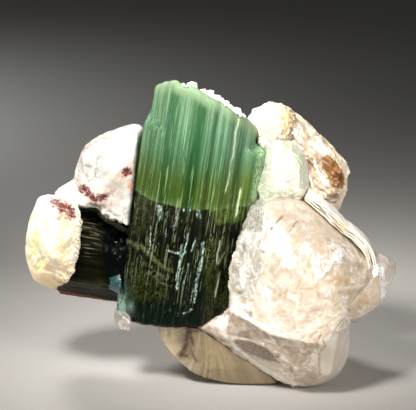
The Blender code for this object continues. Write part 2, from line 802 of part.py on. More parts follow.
def carve(obj, *neighbours):
    """Cuts a seat into obj for each neighbour, a list of point sets whose hulls are cleared."""
    material = obj.data.materials[0]
    cutters = []
    for points in itertools.chain.from_iterable(neighbours):
        cutter = add_object("cutter", hull_mesh("cutter", spread(points)))
        cut = obj.modifiers.new("seat", "BOOLEAN")
        cut.operation = "DIFFERENCE"
        cut.object = cutter
        cut.solver = "EXACT"
        cutters.append(cutter)
    applied(obj)
    obj.data.materials.append(material)
    for cutter in cutters:
        bpy.data.objects.remove(cutter)


def lump_seat(corners):
    return [spread(corners, RELIEF_ROOM)]


def knob_relief(points):
    """Lumps all over, and two shallow pits on the outer flank."""
    bumps = 0.35 * smooth_noise(points, 2.4, 11) + 0.2 * smooth_noise(points, 1.1, 12)
    for pit, size, depth in KNOB_PITS:
        bumps -= depth * np.exp(-(((points - pit) ** 2).sum(-1)) / size**2)
    return bumps


def upper_relief(points):
    return 0.3 * smooth_noise(points, 2.0, 21)


def fan_relief(points):
    """Ribs that spread from the apex of the fan, over its front and its lower edge."""
    away = points - np.array(FAN_APEX)
    angle = np.arctan2(away[..., 0], -away[..., 2])
    above_floor = np.clip(points[..., 2] - 0.4, 0, 1)
    return FAN_RIB_HEIGHT * np.cos(FAN_RIBS * angle) * above_floor * (points[..., 1] < FAN_APEX[1])


def build():
    clear_scene()
    green = mineral("tourmaline", (0.03, 0.11, 0.06), 0.2)
    black = mineral("dark_tourmaline", (0.02, 0.017, 0.01), 0.25)
    clear = mineral("quartz", (0.86, 0.79, 0.72), 0.15, 0.5)
    cream = mineral("feldspar", (0.86, 0.80, 0.64), 0.5)
    pale = mineral("pale_feldspar", (0.80, 0.81, 0.72), 0.4)
    brown = mineral("mica", (0.42, 0.31, 0.22), 0.35)
    silver = mineral("silver_mica", (0.78, 0.72, 0.62), 0.3)
    beige = mineral("fan_mica", (0.47, 0.42, 0.32), 0.5)
    white = mineral("albite", (0.90, 0.90, 0.86), 0.6)

    tourmaline_main(green)
    on_main, on_side = main_seat(), side_seat()
    on_quartz = [QUARTZ_BLOCK, QUARTZ_UNDER, QUARTZ_COLUMN]
    on_book = [book_rings().reshape(-1, 3)]

    side = tourmaline_side(black)
    carve(side, on_main)
    quartz = crystal("quartz_right", clear, *on_quartz)
    carve(quartz, on_main)
    knob = lump("feldspar_knob", cream, FELDSPAR_KNOB, knob_relief, 22)
    carve(knob, on_side)
    left = crystal("quartz_left", clear, QUARTZ_LEFT)
    carve(left, on_main, on_side, lump_seat(FELDSPAR_KNOB))
    book = mica_book(silver)
    carve(book, on_quartz)
    middle = crystal("feldspar_pale", pale, FELDSPAR_PALE)
    carve(middle, on_main, on_quartz, on_book)
    upper = lump("feldspar_upper", cream, FELDSPAR_UPPER, upper_relief, 20, 22, 12)
    carve(upper, on_main, [FELDSPAR_PALE])
    nub = crystal("quartz_nub", clear, QUARTZ_NUB)
    carve(nub, on_quartz, on_book)
    fan = lump("mica_fan", beige, MICA_FAN, fan_relief, 30, 40, 15)
    carve(fan, on_main, on_quartz)

    stacks = [
        mica_stack("mica_upper", MICA_UPPER, UPPER_CLEAVAGE, 11, 26, 41),
        mica_stack("mica_back", MICA_BACK, BACK_CLEAVAGE, 10, 30, 42),
        mica_stack("mica_foot", MICA_FOOT, FOOT_CLEAVAGE, 6, 26, 43, 0.05),
    ]
    matrix = fuse("mica_matrix", brown, stacks)
    carve(matrix, on_main, on_side, on_quartz, on_book, [QUARTZ_LEFT, FELDSPAR_PALE, QUARTZ_NUB])
    carve(matrix, lump_seat(FELDSPAR_KNOB), lump_seat(FELDSPAR_UPPER), lump_seat(MICA_FAN))

    crust = albite_crust(white)
    carve(crust, on_main, lump_seat(FELDSPAR_UPPER))
    low = crystal("quartz_chip_low", clear, CHIP_LOW)
    carve(low, on_main, on_side, lump_seat(MICA_FAN))
    between = crystal("quartz_chip_side", clear, CHIP_SIDE)
    carve(between, on_main, on_side)

    for obj in bpy.data.objects:
        obj.location = Vector((-FOOT_CENTRE[0], -FOOT_CENTRE[1], 0)) * MM


build()
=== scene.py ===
# Tourmaline on mica matrix, a small mineral specimen.
# Places are millimetres right of, behind and above the root of the large tourmaline. The meshes are in
# metres, with the middle of the flat foot at the origin. -Y is the front.

import itertools
import math

import bpy
import numpy as np
from mathutils import Euler, Matrix, Vector


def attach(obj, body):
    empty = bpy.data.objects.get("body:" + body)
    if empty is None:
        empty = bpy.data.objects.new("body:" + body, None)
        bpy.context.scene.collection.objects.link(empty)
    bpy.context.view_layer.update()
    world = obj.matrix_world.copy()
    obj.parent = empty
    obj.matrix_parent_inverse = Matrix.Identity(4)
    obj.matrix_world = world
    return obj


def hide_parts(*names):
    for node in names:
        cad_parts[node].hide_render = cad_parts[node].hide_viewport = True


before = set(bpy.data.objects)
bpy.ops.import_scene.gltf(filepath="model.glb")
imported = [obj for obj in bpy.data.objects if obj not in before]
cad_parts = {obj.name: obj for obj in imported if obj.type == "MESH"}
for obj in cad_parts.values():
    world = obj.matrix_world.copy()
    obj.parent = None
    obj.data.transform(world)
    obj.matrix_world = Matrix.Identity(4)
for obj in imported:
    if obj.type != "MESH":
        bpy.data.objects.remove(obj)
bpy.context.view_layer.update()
print("frame loaded:", len(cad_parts), "solids")

mm = 0.001
footCentre = np.array((5.5, 7.6, 0.0))  # the middle of the foot, from the root of the large tourmaline
viewTilt = math.radians(16)  # how far the line of sight dips
sheetStep = 0.115  # marks are placed on a sheet in front of the piece, in steps right and down
sheetOrigin = (210.0, 375.5)  # the root of the large tourmaline on that sheet
sheetSize = (416, 410)  # how much of the sheet the camera takes in


def hashed(at, seed):
    # a number from 0 to 1 for each whole-numbered place: its three numbers and the seed, each times a large
    # prime, are mixed bit by bit
    mixed = at[..., 0] * 73856093 ^ at[..., 1] * 19349663 ^ at[..., 2] * 83492791 ^ seed * 50331653
    mixed = ((mixed ^ (mixed >> 13)) & 0xFFFFFF) * 1274126177 & 0xFFFFFFFF
    return ((mixed ^ (mixed >> 16)) & 0xFFFF) / 65535.0


def smoothNoise(points, cell, seed):
    # random values from -1 to 1 at the corners of a lattice, blended smoothly between them
    scaled = np.asarray(points, float) / cell + 1000.0
    base = np.floor(scaled).astype(np.int64)
    part = scaled - base
    part = part * part * (3 - 2 * part)
    total = np.zeros(scaled.shape[:-1])
    for corner in itertools.product((0, 1), repeat=3):
        weight = np.prod(np.where(corner, part, 1 - part), axis=-1)
        total += weight * (2 * hashed(base + np.array(corner), seed) - 1)
    return total


def roughNoise(points, cell, octaves, seed, fall=0.5):
    # smooth noise plus finer and finer copies of it, each half as wide and weaker
    return sum(smoothNoise(points, cell / 2**k, seed + k) * fall**k for k in range(octaves))


def noiseOf(seed, first, second, third=0.0):
    # smooth noise of a place made from three numbers, which may be arrays of different shapes
    return smoothNoise(np.stack(np.broadcast_arrays(first, second, third), -1), 1.0, seed)


def shards(points, cell, seed):
    # scattered points, one to a cell: each point's own area is one flat tilted face. Gives the height of that
    # face, the distance to the area's edge and a random number of the area
    scaled = np.asarray(points, float) / cell + 500.0
    base = np.floor(scaled).astype(np.int64)
    best = np.full(scaled.shape[:-1], 9.0)
    second = best.copy()
    tilt = np.zeros(scaled.shape)
    offset = np.zeros(scaled.shape)
    for step in itertools.product((-1, 0, 1), repeat=3):
        at = base + np.array(step)
        spot = at + np.stack([hashed(at, seed + k) for k in range(3)], -1)
        gap = scaled - spot
        away = np.sqrt((gap**2).sum(-1))
        closer = away < best
        second = np.where(closer, best, np.minimum(second, away))
        best = np.where(closer, away, best)
        turn = np.stack([hashed(at, seed + 5 + k) for k in range(3)], -1) - 0.5
        tilt = np.where(closer[..., None], turn, tilt)
        offset = np.where(closer[..., None], gap, offset)
    return (tilt * offset).sum(-1), second - best, tilt[..., 0] + 0.5


def ease(value, low, high):
    # 0 below low, 1 above high, and a smooth rise between
    t = np.clip((value - low) / (high - low), 0, 1)
    return t * t * (3 - 2 * t)


def onSheet(points):
    # where each point is seen from the front, in sheet steps right and down
    up = points[..., 2] * math.cos(viewTilt) + points[..., 1] * math.sin(viewTilt)
    return np.stack([sheetOrigin[0] + points[..., 0] / sheetStep, sheetOrigin[1] - up / sheetStep], -1)


def dab(sheet, right, down, wide, high, turn=0.0):
    # a soft oval mark: 1 in its middle, and a bell curve outwards
    angle = math.radians(turn)
    x, y = sheet[..., 0] - right, sheet[..., 1] - down
    along = x * math.cos(angle) + y * math.sin(angle)
    across = y * math.cos(angle) - x * math.sin(angle)
    return np.exp(-((along / wide) ** 2 + (across / high) ** 2))


def dabs(sheet, marks):
    # the strongest of several soft marks at each point
    return np.max([dab(sheet, *mark) for mark in marks], axis=0)


def stroke(sheet, path, width):
    # a soft line along some places: a bell curve of the distance to the nearest piece of it
    nearest = np.full(sheet.shape[:-1], 1e9)
    for a, b in zip(path[:-1], path[1:]):
        a, b = np.array(a, float), np.array(b, float)
        share = np.clip(((sheet - a) @ (b - a)) / ((b - a) @ (b - a)), 0, 1)
        nearest = np.minimum(nearest, np.sqrt(((sheet - a - share[..., None] * (b - a)) ** 2).sum(-1)))
    return np.exp(-((nearest / width) ** 2))


def patch(sheet, corners, soft=2.0):
    # a flat mark with straight sides: 1 inside all the sides of a convex outline, falling to 0 outside
    corners = np.array(corners, float)
    middle = corners.mean(0)
    inside = np.ones(sheet.shape[:-1])
    for a, b in zip(corners, np.roll(corners, -1, axis=0)):
        out = np.array((b[1] - a[1], a[0] - b[0]))
        out /= np.linalg.norm(out)
        if (middle - a) @ out > 0:
            out = -out
        inside *= 1 - ease((sheet - a) @ out, -soft, soft)
    return inside


def oval(right, down, wide, high, turn=0.0, level=1.0):
    # a mark for a dictionary: a soft oval with its half sizes, its turn in degrees and its strength
    return dict(oval=(right, down, wide, high, turn), level=level)


def area(*corners, soft=1.5, level=1.0):
    # a mark for a dictionary: a convex area that fades over soft steps at its sides
    return dict(area=corners, soft=soft, level=level)


def line(*places, width=1.2, level=1.0):
    # a mark for a dictionary: a soft line along some places
    return dict(line=places, width=width, level=level)


def hullPlanes(corners):
    # the plane through every three corners that leaves all the others on one side: rows of (normal, distance)
    corners = np.array(corners, float)
    picks = np.array(list(itertools.combinations(range(len(corners)), 3)))
    a, b, c = (corners[picks[:, k]] for k in range(3))
    normals = np.cross(b - a, c - a)
    size = np.linalg.norm(normals, axis=1)
    normals, a = normals[size > 1e-6] / size[size > 1e-6, None], a[size > 1e-6]
    reach = normals @ corners.T - (normals * a).sum(1)[:, None]
    normals = np.vstack([normals[reach.max(1) < 1e-6], -normals[reach.min(1) > -1e-6]])
    distances = (normals @ corners.T).max(1)
    return np.unique(np.round(np.column_stack([normals, distances]), 6), axis=0)


def hullReach(ways, planes, centre, sharpness):
    # how far the rounded hull reaches from its centre in each direction: a power mean over its planes
    room = planes[:, 3] - planes[:, :3] @ centre
    share = np.maximum(1e-9, ways @ planes[:, :3].T / room)
    largest = share.max(-1, keepdims=True)
    return 1 / (largest[..., 0] * ((share / largest) ** sharpness).sum(-1) ** (1 / sharpness))


def wayGrid(rows, columns, crowd):
    # directions over a ball, rows from below upwards, the columns crowded towards the front
    turn = np.arange(columns) * math.tau / columns
    turn = turn - math.pi / 2 - crowd * np.sin(turn)
    climb = np.linspace(-math.pi / 2, math.pi / 2, rows + 2)[1:-1]
    up, around = np.meshgrid(climb, turn, indexing="ij")
    return np.stack([np.cos(up) * np.cos(around), np.cos(up) * np.sin(around), np.sin(up)], -1)


usualBlend = 0.3  # over how many millimetres one hull flows into another
usualCrowd = 0.35  # how much the columns crowd to the front


def makeLump(name, spec, relief):
    # a closed piece: the outermost of some rounded hulls around one centre, moved outwards by relief(points).
    # Where two hulls cross, the surface flows over by blend millimetres
    hulls = [spec[part] for part in ("corners", "block", "under", "ledge", "column") if part in spec]
    planes = [hullPlanes(corners) for corners in hulls]
    centre = np.array(spec.get("centre", np.mean(hulls[0], 0)), float)
    blend = spec.get("blend", usualBlend)

    def surface(ways):
        # the point of the surface in each direction
        reach = np.array([hullReach(ways, plane, centre, spec["sharpness"]) for plane in planes])
        most = reach.max(0)
        reach = most + blend * np.log(np.exp((reach - most) / blend).sum(0))
        points = centre + ways * reach[..., None]
        points = points + ways * relief(points)[..., None]
        points[..., 2] = np.maximum(points[..., 2], spec.get("lowest", 0.0))
        return points

    rings = surface(wayGrid(spec["rows"], spec["columns"], spec.get("crowd", usualCrowd)))
    tips = surface(np.array([(0, 0, -1.0), (0, 0, 1.0)]))
    return closedGrid(name, rings, tips[0], tips[1])


def crystalAxes(along, across):
    # right, behind and along directions of a crystal, from its axis and a direction near its right
    along = np.array(along, float) / np.linalg.norm(along)
    right = np.array(across, float) - along * np.dot(across, along)
    right /= np.linalg.norm(right)
    return np.array([right, np.cross(along, right), along])


def laminae(points, cleavage, wide, thin, seed):
    # noise drawn out along the sheets of a stack and quick across them: its ridges are the sheets' edges
    own = points @ crystalAxes(cleavage, (1, 0, 0.01)).T / np.array((wide, wide, thin))
    return smoothNoise(own, 1.0, seed) + 0.5 * smoothNoise(own * (1.3, 1.3, 2.3), 1.0, seed + 1)


def closedGrid(name, rings, low, high):
    # rings of points (levels, count, 3) joined by quads, each end closed by a fan to its tip
    levels, count = rings.shape[:2]
    level, step = np.meshgrid(np.arange(levels - 1) * count, np.arange(count), indexing="ij")
    after = (step + 1) % count
    quads = np.stack([level + step, level + after, level + count + after, level + count + step], -1)
    one = np.arange(count)
    beside = (one + 1) % count
    last = (levels - 1) * count
    lowFan = np.stack([beside, one, np.full(count, levels * count)], -1)
    highFan = np.stack([last + one, last + beside, np.full(count, levels * count + 1)], -1)
    points = np.vstack([rings.reshape(-1, 3), low, high])
    return meshPiece(name, points, [quads.reshape(-1, 4), np.vstack([lowFan, highFan])])


def meshPiece(name, points, faceSets):
    # a new object from points in millimetres and arrays of faces
    mesh = bpy.data.meshes.new(name)
    faces = [face for faces in faceSets for face in faces.tolist()]
    mesh.from_pydata(((points - footCentre) * mm).tolist(), [], faces)
    mesh.polygons.foreach_set("use_smooth", np.ones(len(faces), bool))
    mesh.update()
    piece = bpy.data.objects.new(name, mesh)
    bpy.context.scene.collection.objects.link(piece)
    return piece


def meshPoints(piece):
    # a piece's points in millimetres from the root of the large tourmaline
    flat = np.empty(len(piece.data.vertices) * 3, np.float32)
    piece.data.vertices.foreach_get("co", flat)
    return flat.reshape(-1, 3).astype(float) / mm + footCentre


def blocks(name, places, sizes, axes, shape, seed):
    # many small crystals: one low shape turned, stretched and put at each place
    corners, faces = shape
    spots = places[:, None, :] + np.einsum("nkj,nji->nki", corners[None] * sizes[:, None, :], axes)
    jitter = (hashed((spots * 997).astype(np.int64), seed)[..., None] - 0.5) * 0.12
    spots = spots + jitter * sizes[:, None, :]
    step = np.arange(len(places))[:, None, None] * len(corners)
    return meshPiece(name, spots.reshape(-1, 3), [(faces[None] + step).reshape(-1, faces.shape[1])])


def randomAxes(count, seed):
    # a random turn for each small crystal, from three made-up angles
    pick = np.random.default_rng(seed)
    turns = pick.uniform(0, math.tau, (count, 3))
    return np.array([np.array(Euler(angles).to_matrix()) for angles in turns])


def addMask(piece, name, values):
    # one number per point that the materials read by name
    layer = piece.data.attributes.new(name, "FLOAT", "POINT")
    layer.data.foreach_set("value", np.asarray(values, np.float32).ravel())


def frontWeight(piece, back):
    # one where the surface faces the sheet, falling to back where it turns away
    normals = np.empty(len(piece.data.vertices) * 3, np.float32)
    piece.data.vertices.foreach_get("normal", normals)
    facing = normals.reshape(-1, 3) @ np.array((0, -math.cos(viewTilt), math.sin(viewTilt)))
    return back + (1 - back) * ease(facing, -0.1, 0.15)


def paint(piece, weight, wobble, marks):
    # each named mask is the strongest of its marks, whose edges waver by wobble steps
    points = meshPoints(piece)
    shift = np.stack([roughNoise(points, 0.9, 3, seed) for seed in (41, 44)], -1)
    sheet = onSheet(points) + wobble * shift
    for name, spots in marks.items():
        total = np.zeros(len(points))
        for spot in spots:
            if "oval" in spot:
                value = dab(sheet, *spot["oval"])
            elif "area" in spot:
                value = patch(sheet, spot["area"], spot["soft"])
            else:
                value = stroke(sheet, spot["line"], spot["width"])
            total = np.maximum(total, spot["level"] * value)
        addMask(piece, name, total * weight)


def place(piece, node, material):
    # the piece stands for a solid of the frame, which it hides, and takes the given material
    piece.data.materials.clear()
    piece.data.materials.append(material)
    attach(piece, "root")
    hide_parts(node)
    print("made", piece.name, len(piece.data.polygons), "faces")


def dressLump(name, spec, relief, material):
    # a lump with its marks, of which the share called around is kept on the sides turned away
    piece = makeLump(name, spec, relief)
    paint(piece, frontWeight(piece, spec["around"]), spec["wobble"], spec["marks"])
    place(piece, spec["node"], material)


def tone(red, green, blue):
    # a colour as it looks on a screen, 0 to 255, turned into the linear values that a shader takes
    values = np.array((red, green, blue)) / 255.0
    linear = np.where(values <= 0.04045, values / 12.92, ((values + 0.055) / 1.055) ** 2.4)
    return (*linear.tolist(), 1.0)


def addNode(tree, kind, inputs=(), **settings):
    # a node with its settings, whose inputs are plain values or other nodes' outputs
    made = tree.nodes.new(kind)
    for name, value in settings.items():
        setattr(made, name, value)
    for name, value in dict(inputs).items():
        if isinstance(value, bpy.types.NodeSocket):
            tree.links.new(value, made.inputs[name])
        else:
            made.inputs[name].default_value = value
    return made


def calc(tree, operation, a, b, c=0.0):
    # one step of arithmetic on values or other nodes' outputs
    return addNode(tree, "ShaderNodeMath", {0: a, 1: b, 2: c}, operation=operation).outputs[0]


def times(tree, *values):
    # the product of some masks and numbers
    product = values[0]
    for value in values[1:]:
        product = calc(tree, "MULTIPLY", product, value)
    return product


def sway(tree, noise, amount, value):
    # the value plus a noise that swings round nought
    return calc(tree, "MULTIPLY_ADD", calc(tree, "SUBTRACT", noise, 0.5), amount, value)


def blendColours(tree, share, a, b, way="MIX"):
    # the second shade over the first by a share
    made = addNode(tree, "ShaderNodeMix", {0: share, 6: a, 7: b}, data_type="RGBA", blend_type=way)
    return made.outputs[2]


def between(tree, value, low, high, start=0.0, end=1.0):
    # maps low..high to start..end with a smooth rise, and holds the ends
    inputs = {"Value": value, "From Min": low, "From Max": high, "To Min": start, "To Max": end}
    return addNode(tree, "ShaderNodeMapRange", inputs, interpolation_type="SMOOTHSTEP").outputs[0]


def mottled(tree, noise, low, high, first, second):
    # a shade that passes from the first to the second as the noise rises
    return blendColours(tree, between(tree, noise, low, high), first, second)


def layered(tree, colour, layers):
    # each (share, shade) pair covers what lies under it by its share
    for share, shade in layers:
        colour = blendColours(tree, share, colour, shade)
    return colour


def noiseOn(tree, vector, scale, detail, roughness, distortion=0.0):
    # cloudy noise from 0 to 1, most of it near one half
    names = ("Vector", "Scale", "Detail", "Roughness", "Distortion")
    inputs = dict(zip(names, (vector, scale, detail, roughness, distortion)))
    return addNode(tree, "ShaderNodeTexNoise", inputs).outputs[0]


def painted(tree, name):
    # a mask that was written on the mesh
    return addNode(tree, "ShaderNodeAttribute", attribute_name=name).outputs["Fac"]


def stops(tree, value, colours):
    # a colour ramp from (position, colour) pairs
    made = addNode(tree, "ShaderNodeValToRGB", {"Fac": value})
    elements = made.color_ramp.elements
    for k, (position, shade) in enumerate(colours):
        element = elements[k] if k < 2 else elements.new(position)
        element.position, element.color = position, shade
    return made.outputs[0]


def stretched(tree, axes=None, root=(0, 0, 0), stretch=(1, 1, 1)):
    # object coordinates in millimetres from a root, along a crystal's own axes, squeezed along some of them
    coordinates = addNode(tree, "ShaderNodeTexCoord").outputs["Object"]
    turn = Matrix(np.array(axes).T).to_euler() if axes is not None else (0, 0, 0)
    spot = (np.array(root, float) - footCentre) * mm
    inputs = {"Vector": coordinates, "Location": spot.tolist(), "Rotation": turn, "Scale": (mm, mm, mm)}
    mapped = addNode(tree, "ShaderNodeMapping", inputs, vector_type="TEXTURE").outputs[0]
    if tuple(stretch) == (1, 1, 1):
        return mapped
    return addNode(tree, "ShaderNodeVectorMath", {0: mapped, 1: stretch}, operation="MULTIPLY").outputs[0]


def newGroup(name, inputs, outputs):
    # an empty shader group with named inputs and outputs: a place and some numbers go in
    group = bpy.data.node_groups.new(name, "ShaderNodeTree")
    group.interface.new_socket("Place", in_out="INPUT", socket_type="NodeSocketVector")
    for label, value in inputs.items():
        socket = group.interface.new_socket(label, in_out="INPUT", socket_type="NodeSocketFloat")
        socket.default_value = value
    for label in outputs:
        group.interface.new_socket(label, in_out="OUTPUT", socket_type="NodeSocketFloat")
    return group, addNode(group, "NodeGroupInput").outputs, addNode(group, "NodeGroupOutput").inputs


def crumbGroup():
    # fine relief of broad waves, grit and, where asked for, tiny pits: gives a height and a mottle
    group, given, out = newGroup("crumb", dict(Grain=3.0, Pits=0.0), ("Height", "Mottle"))
    broad = noiseOn(group, given["Place"], given["Grain"], 3.0, 0.55)
    fineGrain = calc(group, "MULTIPLY", given["Grain"], 4.3)
    fine = noiseOn(group, given["Place"], fineGrain, 4.0, 0.6)
    cells = addNode(group, "ShaderNodeTexVoronoi", {"Vector": given["Place"], "Scale": fineGrain})
    pit = times(group, between(group, cells.outputs["Distance"], 0.0, 0.35, 1.0, 0.0), given["Pits"])
    height = calc(group, "MULTIPLY_ADD", fine, 0.35, broad)
    group.links.new(calc(group, "SUBTRACT", height, pit), out["Height"])
    group.links.new(between(group, height, 0.4, 0.95), out["Mottle"])
    return group


def brokenSpecks(tree, vector, size, weight, softness):
    # specks of a noise that rises over a threshold, which falls as the weight rises, so that a rim frays
    grain = noiseOn(tree, vector, size, 4.0, 0.62)
    over = calc(tree, "SUBTRACT", grain, between(tree, weight, 0.0, 1.0, 0.86, 0.22))
    share = calc(tree, "DIVIDE", over, softness)
    return calc(tree, "MINIMUM", calc(tree, "MAXIMUM", share, 0.0), 1.0)


def speckGroup():
    # broken specks inside a painted area
    group, given, out = newGroup("specks", dict(Size=3.0, Area=0.0, Softness=0.06), ("Mask",))
    mask = brokenSpecks(group, given["Place"], given["Size"], given["Area"], given["Softness"])
    group.links.new(mask, out["Mask"])
    return group


def rustGroup():
    # rust in two painted areas: where its stain lies, where its grains lie, and how light each grain is
    group, given, out = newGroup("rust", dict(Rust=0.0, Halo=0.0), ("Stain", "Grains", "Light"))
    blotch = between(group, noiseOn(group, given["Place"], 1.6, 4.0, 0.6, 0.5), 0.36, 0.6)
    group.links.new(times(group, given["Halo"], blotch), out["Stain"])
    weight = times(group, given["Rust"], 0.9)
    group.links.new(brokenSpecks(group, given["Place"], 3.6, weight, 0.2), out["Grains"])
    light = noiseOn(group, given["Place"], 5.5, 3.0, 0.6)
    group.links.new(between(group, light, 0.42, 0.62), out["Light"])
    return group


crumb = crumbGroup()
specks = speckGroup()
rust = rustGroup()
print("shared shader groups made")


def crumbled(tree, vector, grain, pits):
    # the outputs of the relief group
    inputs = {"Place": vector, "Grain": grain, "Pits": pits}
    return addNode(tree, "ShaderNodeGroup", inputs, node_tree=crumb).outputs


def speckled(tree, vector, size, weight, softness=0.06):
    # a mask of broken specks where the weight is high
    inputs = {"Place": vector, "Size": size, "Area": weight, "Softness": softness}
    return addNode(tree, "ShaderNodeGroup", inputs, node_tree=specks).outputs["Mask"]


def bumpOn(tree, height, depth, strength):
    # depth in millimetres for a height of one
    inputs = {"Height": height, "Distance": depth * mm, "Strength": strength}
    return addNode(tree, "ShaderNodeBump", inputs).outputs[0]


def mineral(name, **plain):
    # a new material with its Principled shader, and the shader's plain values
    material = bpy.data.materials.new(name)
    material.use_nodes = True
    tree = material.node_tree
    shader = tree.nodes["Principled BSDF"]
    for label, value in plain.items():
        shader.inputs[label.replace("_", " ")].default_value = value
    return material, tree, shader


def feed(tree, shader, **sources):
    # links outputs to the shader's inputs by name
    for label, source in sources.items():
        tree.links.new(source, shader.inputs[label.replace("_", " ")])


tourmaline = dict(
    wobble=0.9, rimRings=9, crownRings=14, root=(-4.2, 0.0, 7.7), lean=8.3, nod=2.0, length=28.0,
    faces=(
        (-112, 6.0), (-78, 6.1), (-40, 6.1), (-6, 6.35), (35, 6.1), (80, 5.6), (130, 5.9), (172, 6.35),
        (-148, 6.2),
    ),
    topFallRight=0.38, topFallBack=0.35, rootRiseRight=0.14, rim=0.75, sidePrismTop=21.7,
    sidePrismWidth=1.45, shoulderHeight=22.4, shoulderStep=0.6,
    zoneHeight=14.5, zoneRise=0.045,  # where the dark foot ends, along the axis
    # light and dark flutes of the front, from left to right: place, half width and lightness
    bands=(
        (-6.2, 0.5, 0.3), (-5.2, 0.4, 0.15), (-4.9, 0.35, -0.2), (-4.35, 0.13, 0.45), (-3.9, 0.25, -0.6),
        (-3.4, 0.3, -0.7), (-2.85, 0.28, 0.15), (-2.0, 0.45, 0.15), (-1.3, 0.2, -0.1), (-0.8, 0.5, -0.75),
        (-0.25, 0.3, -0.8), (0.25, 0.2, 0.1), (0.65, 0.25, 0.55), (1.15, 0.2, -0.35), (1.7, 0.22, 1.0),
        (2.15, 0.15, -0.2), (2.6, 0.3, 0.45), (3.1, 0.2, 0.3), (3.6, 0.25, 0.6), (4.0, 0.18, 1.1),
        (4.45, 0.2, 0.0), (5.2, 0.35, 0.95), (5.9, 0.4, 1.0),
    ),
    marks=dict(
        # flakes on the dark foot, their silvery shine a painted reflection
        flakes=(
            area(
                (155, 203), (164, 205), (163, 212), (161, 221), (158, 223), (157, 212), soft=0.8,
                level=0.95
            ),
            oval(169, 210, 4, 2.5, level=0.7),
            line((168, 210), (167, 225), (166, 238), width=1.2, level=0.7),
            oval(184, 209, 4, 3.5, level=0.85), oval(190, 210, 4, 3, level=0.8),
            line((197, 206), (199, 217), width=3.0, level=0.9),
            line((177, 211), (176, 230), width=1.0, level=0.8), oval(182, 221, 3, 1.8, level=0.7),
            oval(173, 241, 5, 3, level=0.6), line((176, 223), (174, 232), width=1.2, level=0.7),
            line((167, 250), (172, 251), (178, 253), (189, 251), width=1.1),
            line((182, 245), (180, 265), (177, 290), width=2.4, level=0.9),
            line((190, 228), (185, 250), (180, 264), width=1.0),
            line((195, 238), (192, 252), width=1.5, level=0.9),
            line((203, 243), (201, 262), (198, 276), (195, 290), width=3.0, level=0.85),
            line((193, 290), (191, 303), width=1.0), line((197, 290), (195, 302), width=1.2),
            line((184, 313), (192, 309), width=1.6), line((152, 226), (149, 252), width=1.1, level=0.9),
            line((186, 225), (184, 240), width=1.0, level=0.8),
            line((177, 201), (173, 240), width=0.9, level=0.7),
            line((189, 262), (184, 284), width=1.0, level=0.9), line((202, 251), (209, 250), width=1.1),
        ),
        # painted glints: bright hairlines near the right edge, where the prism edges catch the light
        glint=(
            line((238, 120), (234, 145), (229, 172), (226, 192), width=0.9, level=0.9),
            line((240, 190), (236, 216), width=0.8, level=0.8),
            line((228, 246), (224, 268), width=0.8, level=0.8),
            line((219, 272), (215, 296), width=0.8, level=0.8),
            line((224, 252), (219, 262), width=0.7, level=0.7),
            line((219, 240), (217, 262), width=0.6, level=0.6),
        ),
        brown=(
            line((127, 241), (141, 246), (153, 256), (161, 265), (173, 271), width=4.5, level=0.75),
            line((150, 273), (160, 282), (172, 286), width=3.0, level=0.7),
            line((142, 260), (156, 272), (166, 279), width=3.5, level=0.7), oval(138, 248, 9, 5, level=0.6),
            oval(217, 262, 7, 24, level=0.6), line((131, 227), (140, 226), width=2.0, level=0.5),
        ),
        under=(area((208, 206), (250, 202), (246, 216), (236, 222), (216, 224), (210, 214), soft=2.5),),
        olive=(
            area((205, 240), (229, 236), (226, 312), (206, 316), soft=4, level=0.6),
            area((124, 258), (170, 290), (168, 300), (121, 300), soft=6, level=0.35),
            area((135, 190), (155, 196), (152, 230), (132, 235), soft=4, level=0.3),
        ),
        teal=(
            line((118, 268), (120, 290), (123, 314), width=5.0, level=0.9), oval(131, 306, 3, 5, level=0.5),
        ),
    ),
    rows=86, columns=620,
)


def mainAxes():
    # directions of the large crystal, which leans to the right and nods to the front
    lean, nod = math.radians(tourmaline["lean"]), math.radians(tourmaline["nod"])
    return crystalAxes((math.sin(lean), -math.sin(nod), math.cos(lean) * math.cos(nod)), (1, 0, 0))


def prismRadius(faces, angles, sharpness=40.0):
    # distance from the axis to a prism with these (direction, distance) faces, its edges a little rounded
    gauge = sum((np.maximum(0, np.cos(angles - math.radians(d))) / r) ** sharpness for d, r in faces)
    return gauge ** (-1 / sharpness)


def mainTop(right, behind):
    # height of the broken top over a point of the cross-section: a plane, worn down on the left, plus noise
    spec = tourmaline
    plain = spec["length"] - spec["topFallRight"] * right - spec["topFallBack"] * (behind + 6)
    worn = 0.3 * np.maximum(0, -right - 4.0) ** 1.3 + 0.35 * ease(-right, 1.5, 4.5)
    flat = np.stack([right, behind, 0 * right], -1)
    return plain - worn + 0.3 * smoothNoise(flat, 2.2, 5)


def fluting(x, y, along):
    # grooves along the prism: noise of the place on the cross-section that hardly changes along the axis
    at = np.stack([x, y, along * 0.035], -1)
    waves = 0.075 * smoothNoise(at, 0.95, 31) + 0.045 * smoothNoise(at * (1, 1, 1.6), 0.42, 32)
    return waves + 0.02 * smoothNoise(at * (1, 1, 3), 0.19, 33)


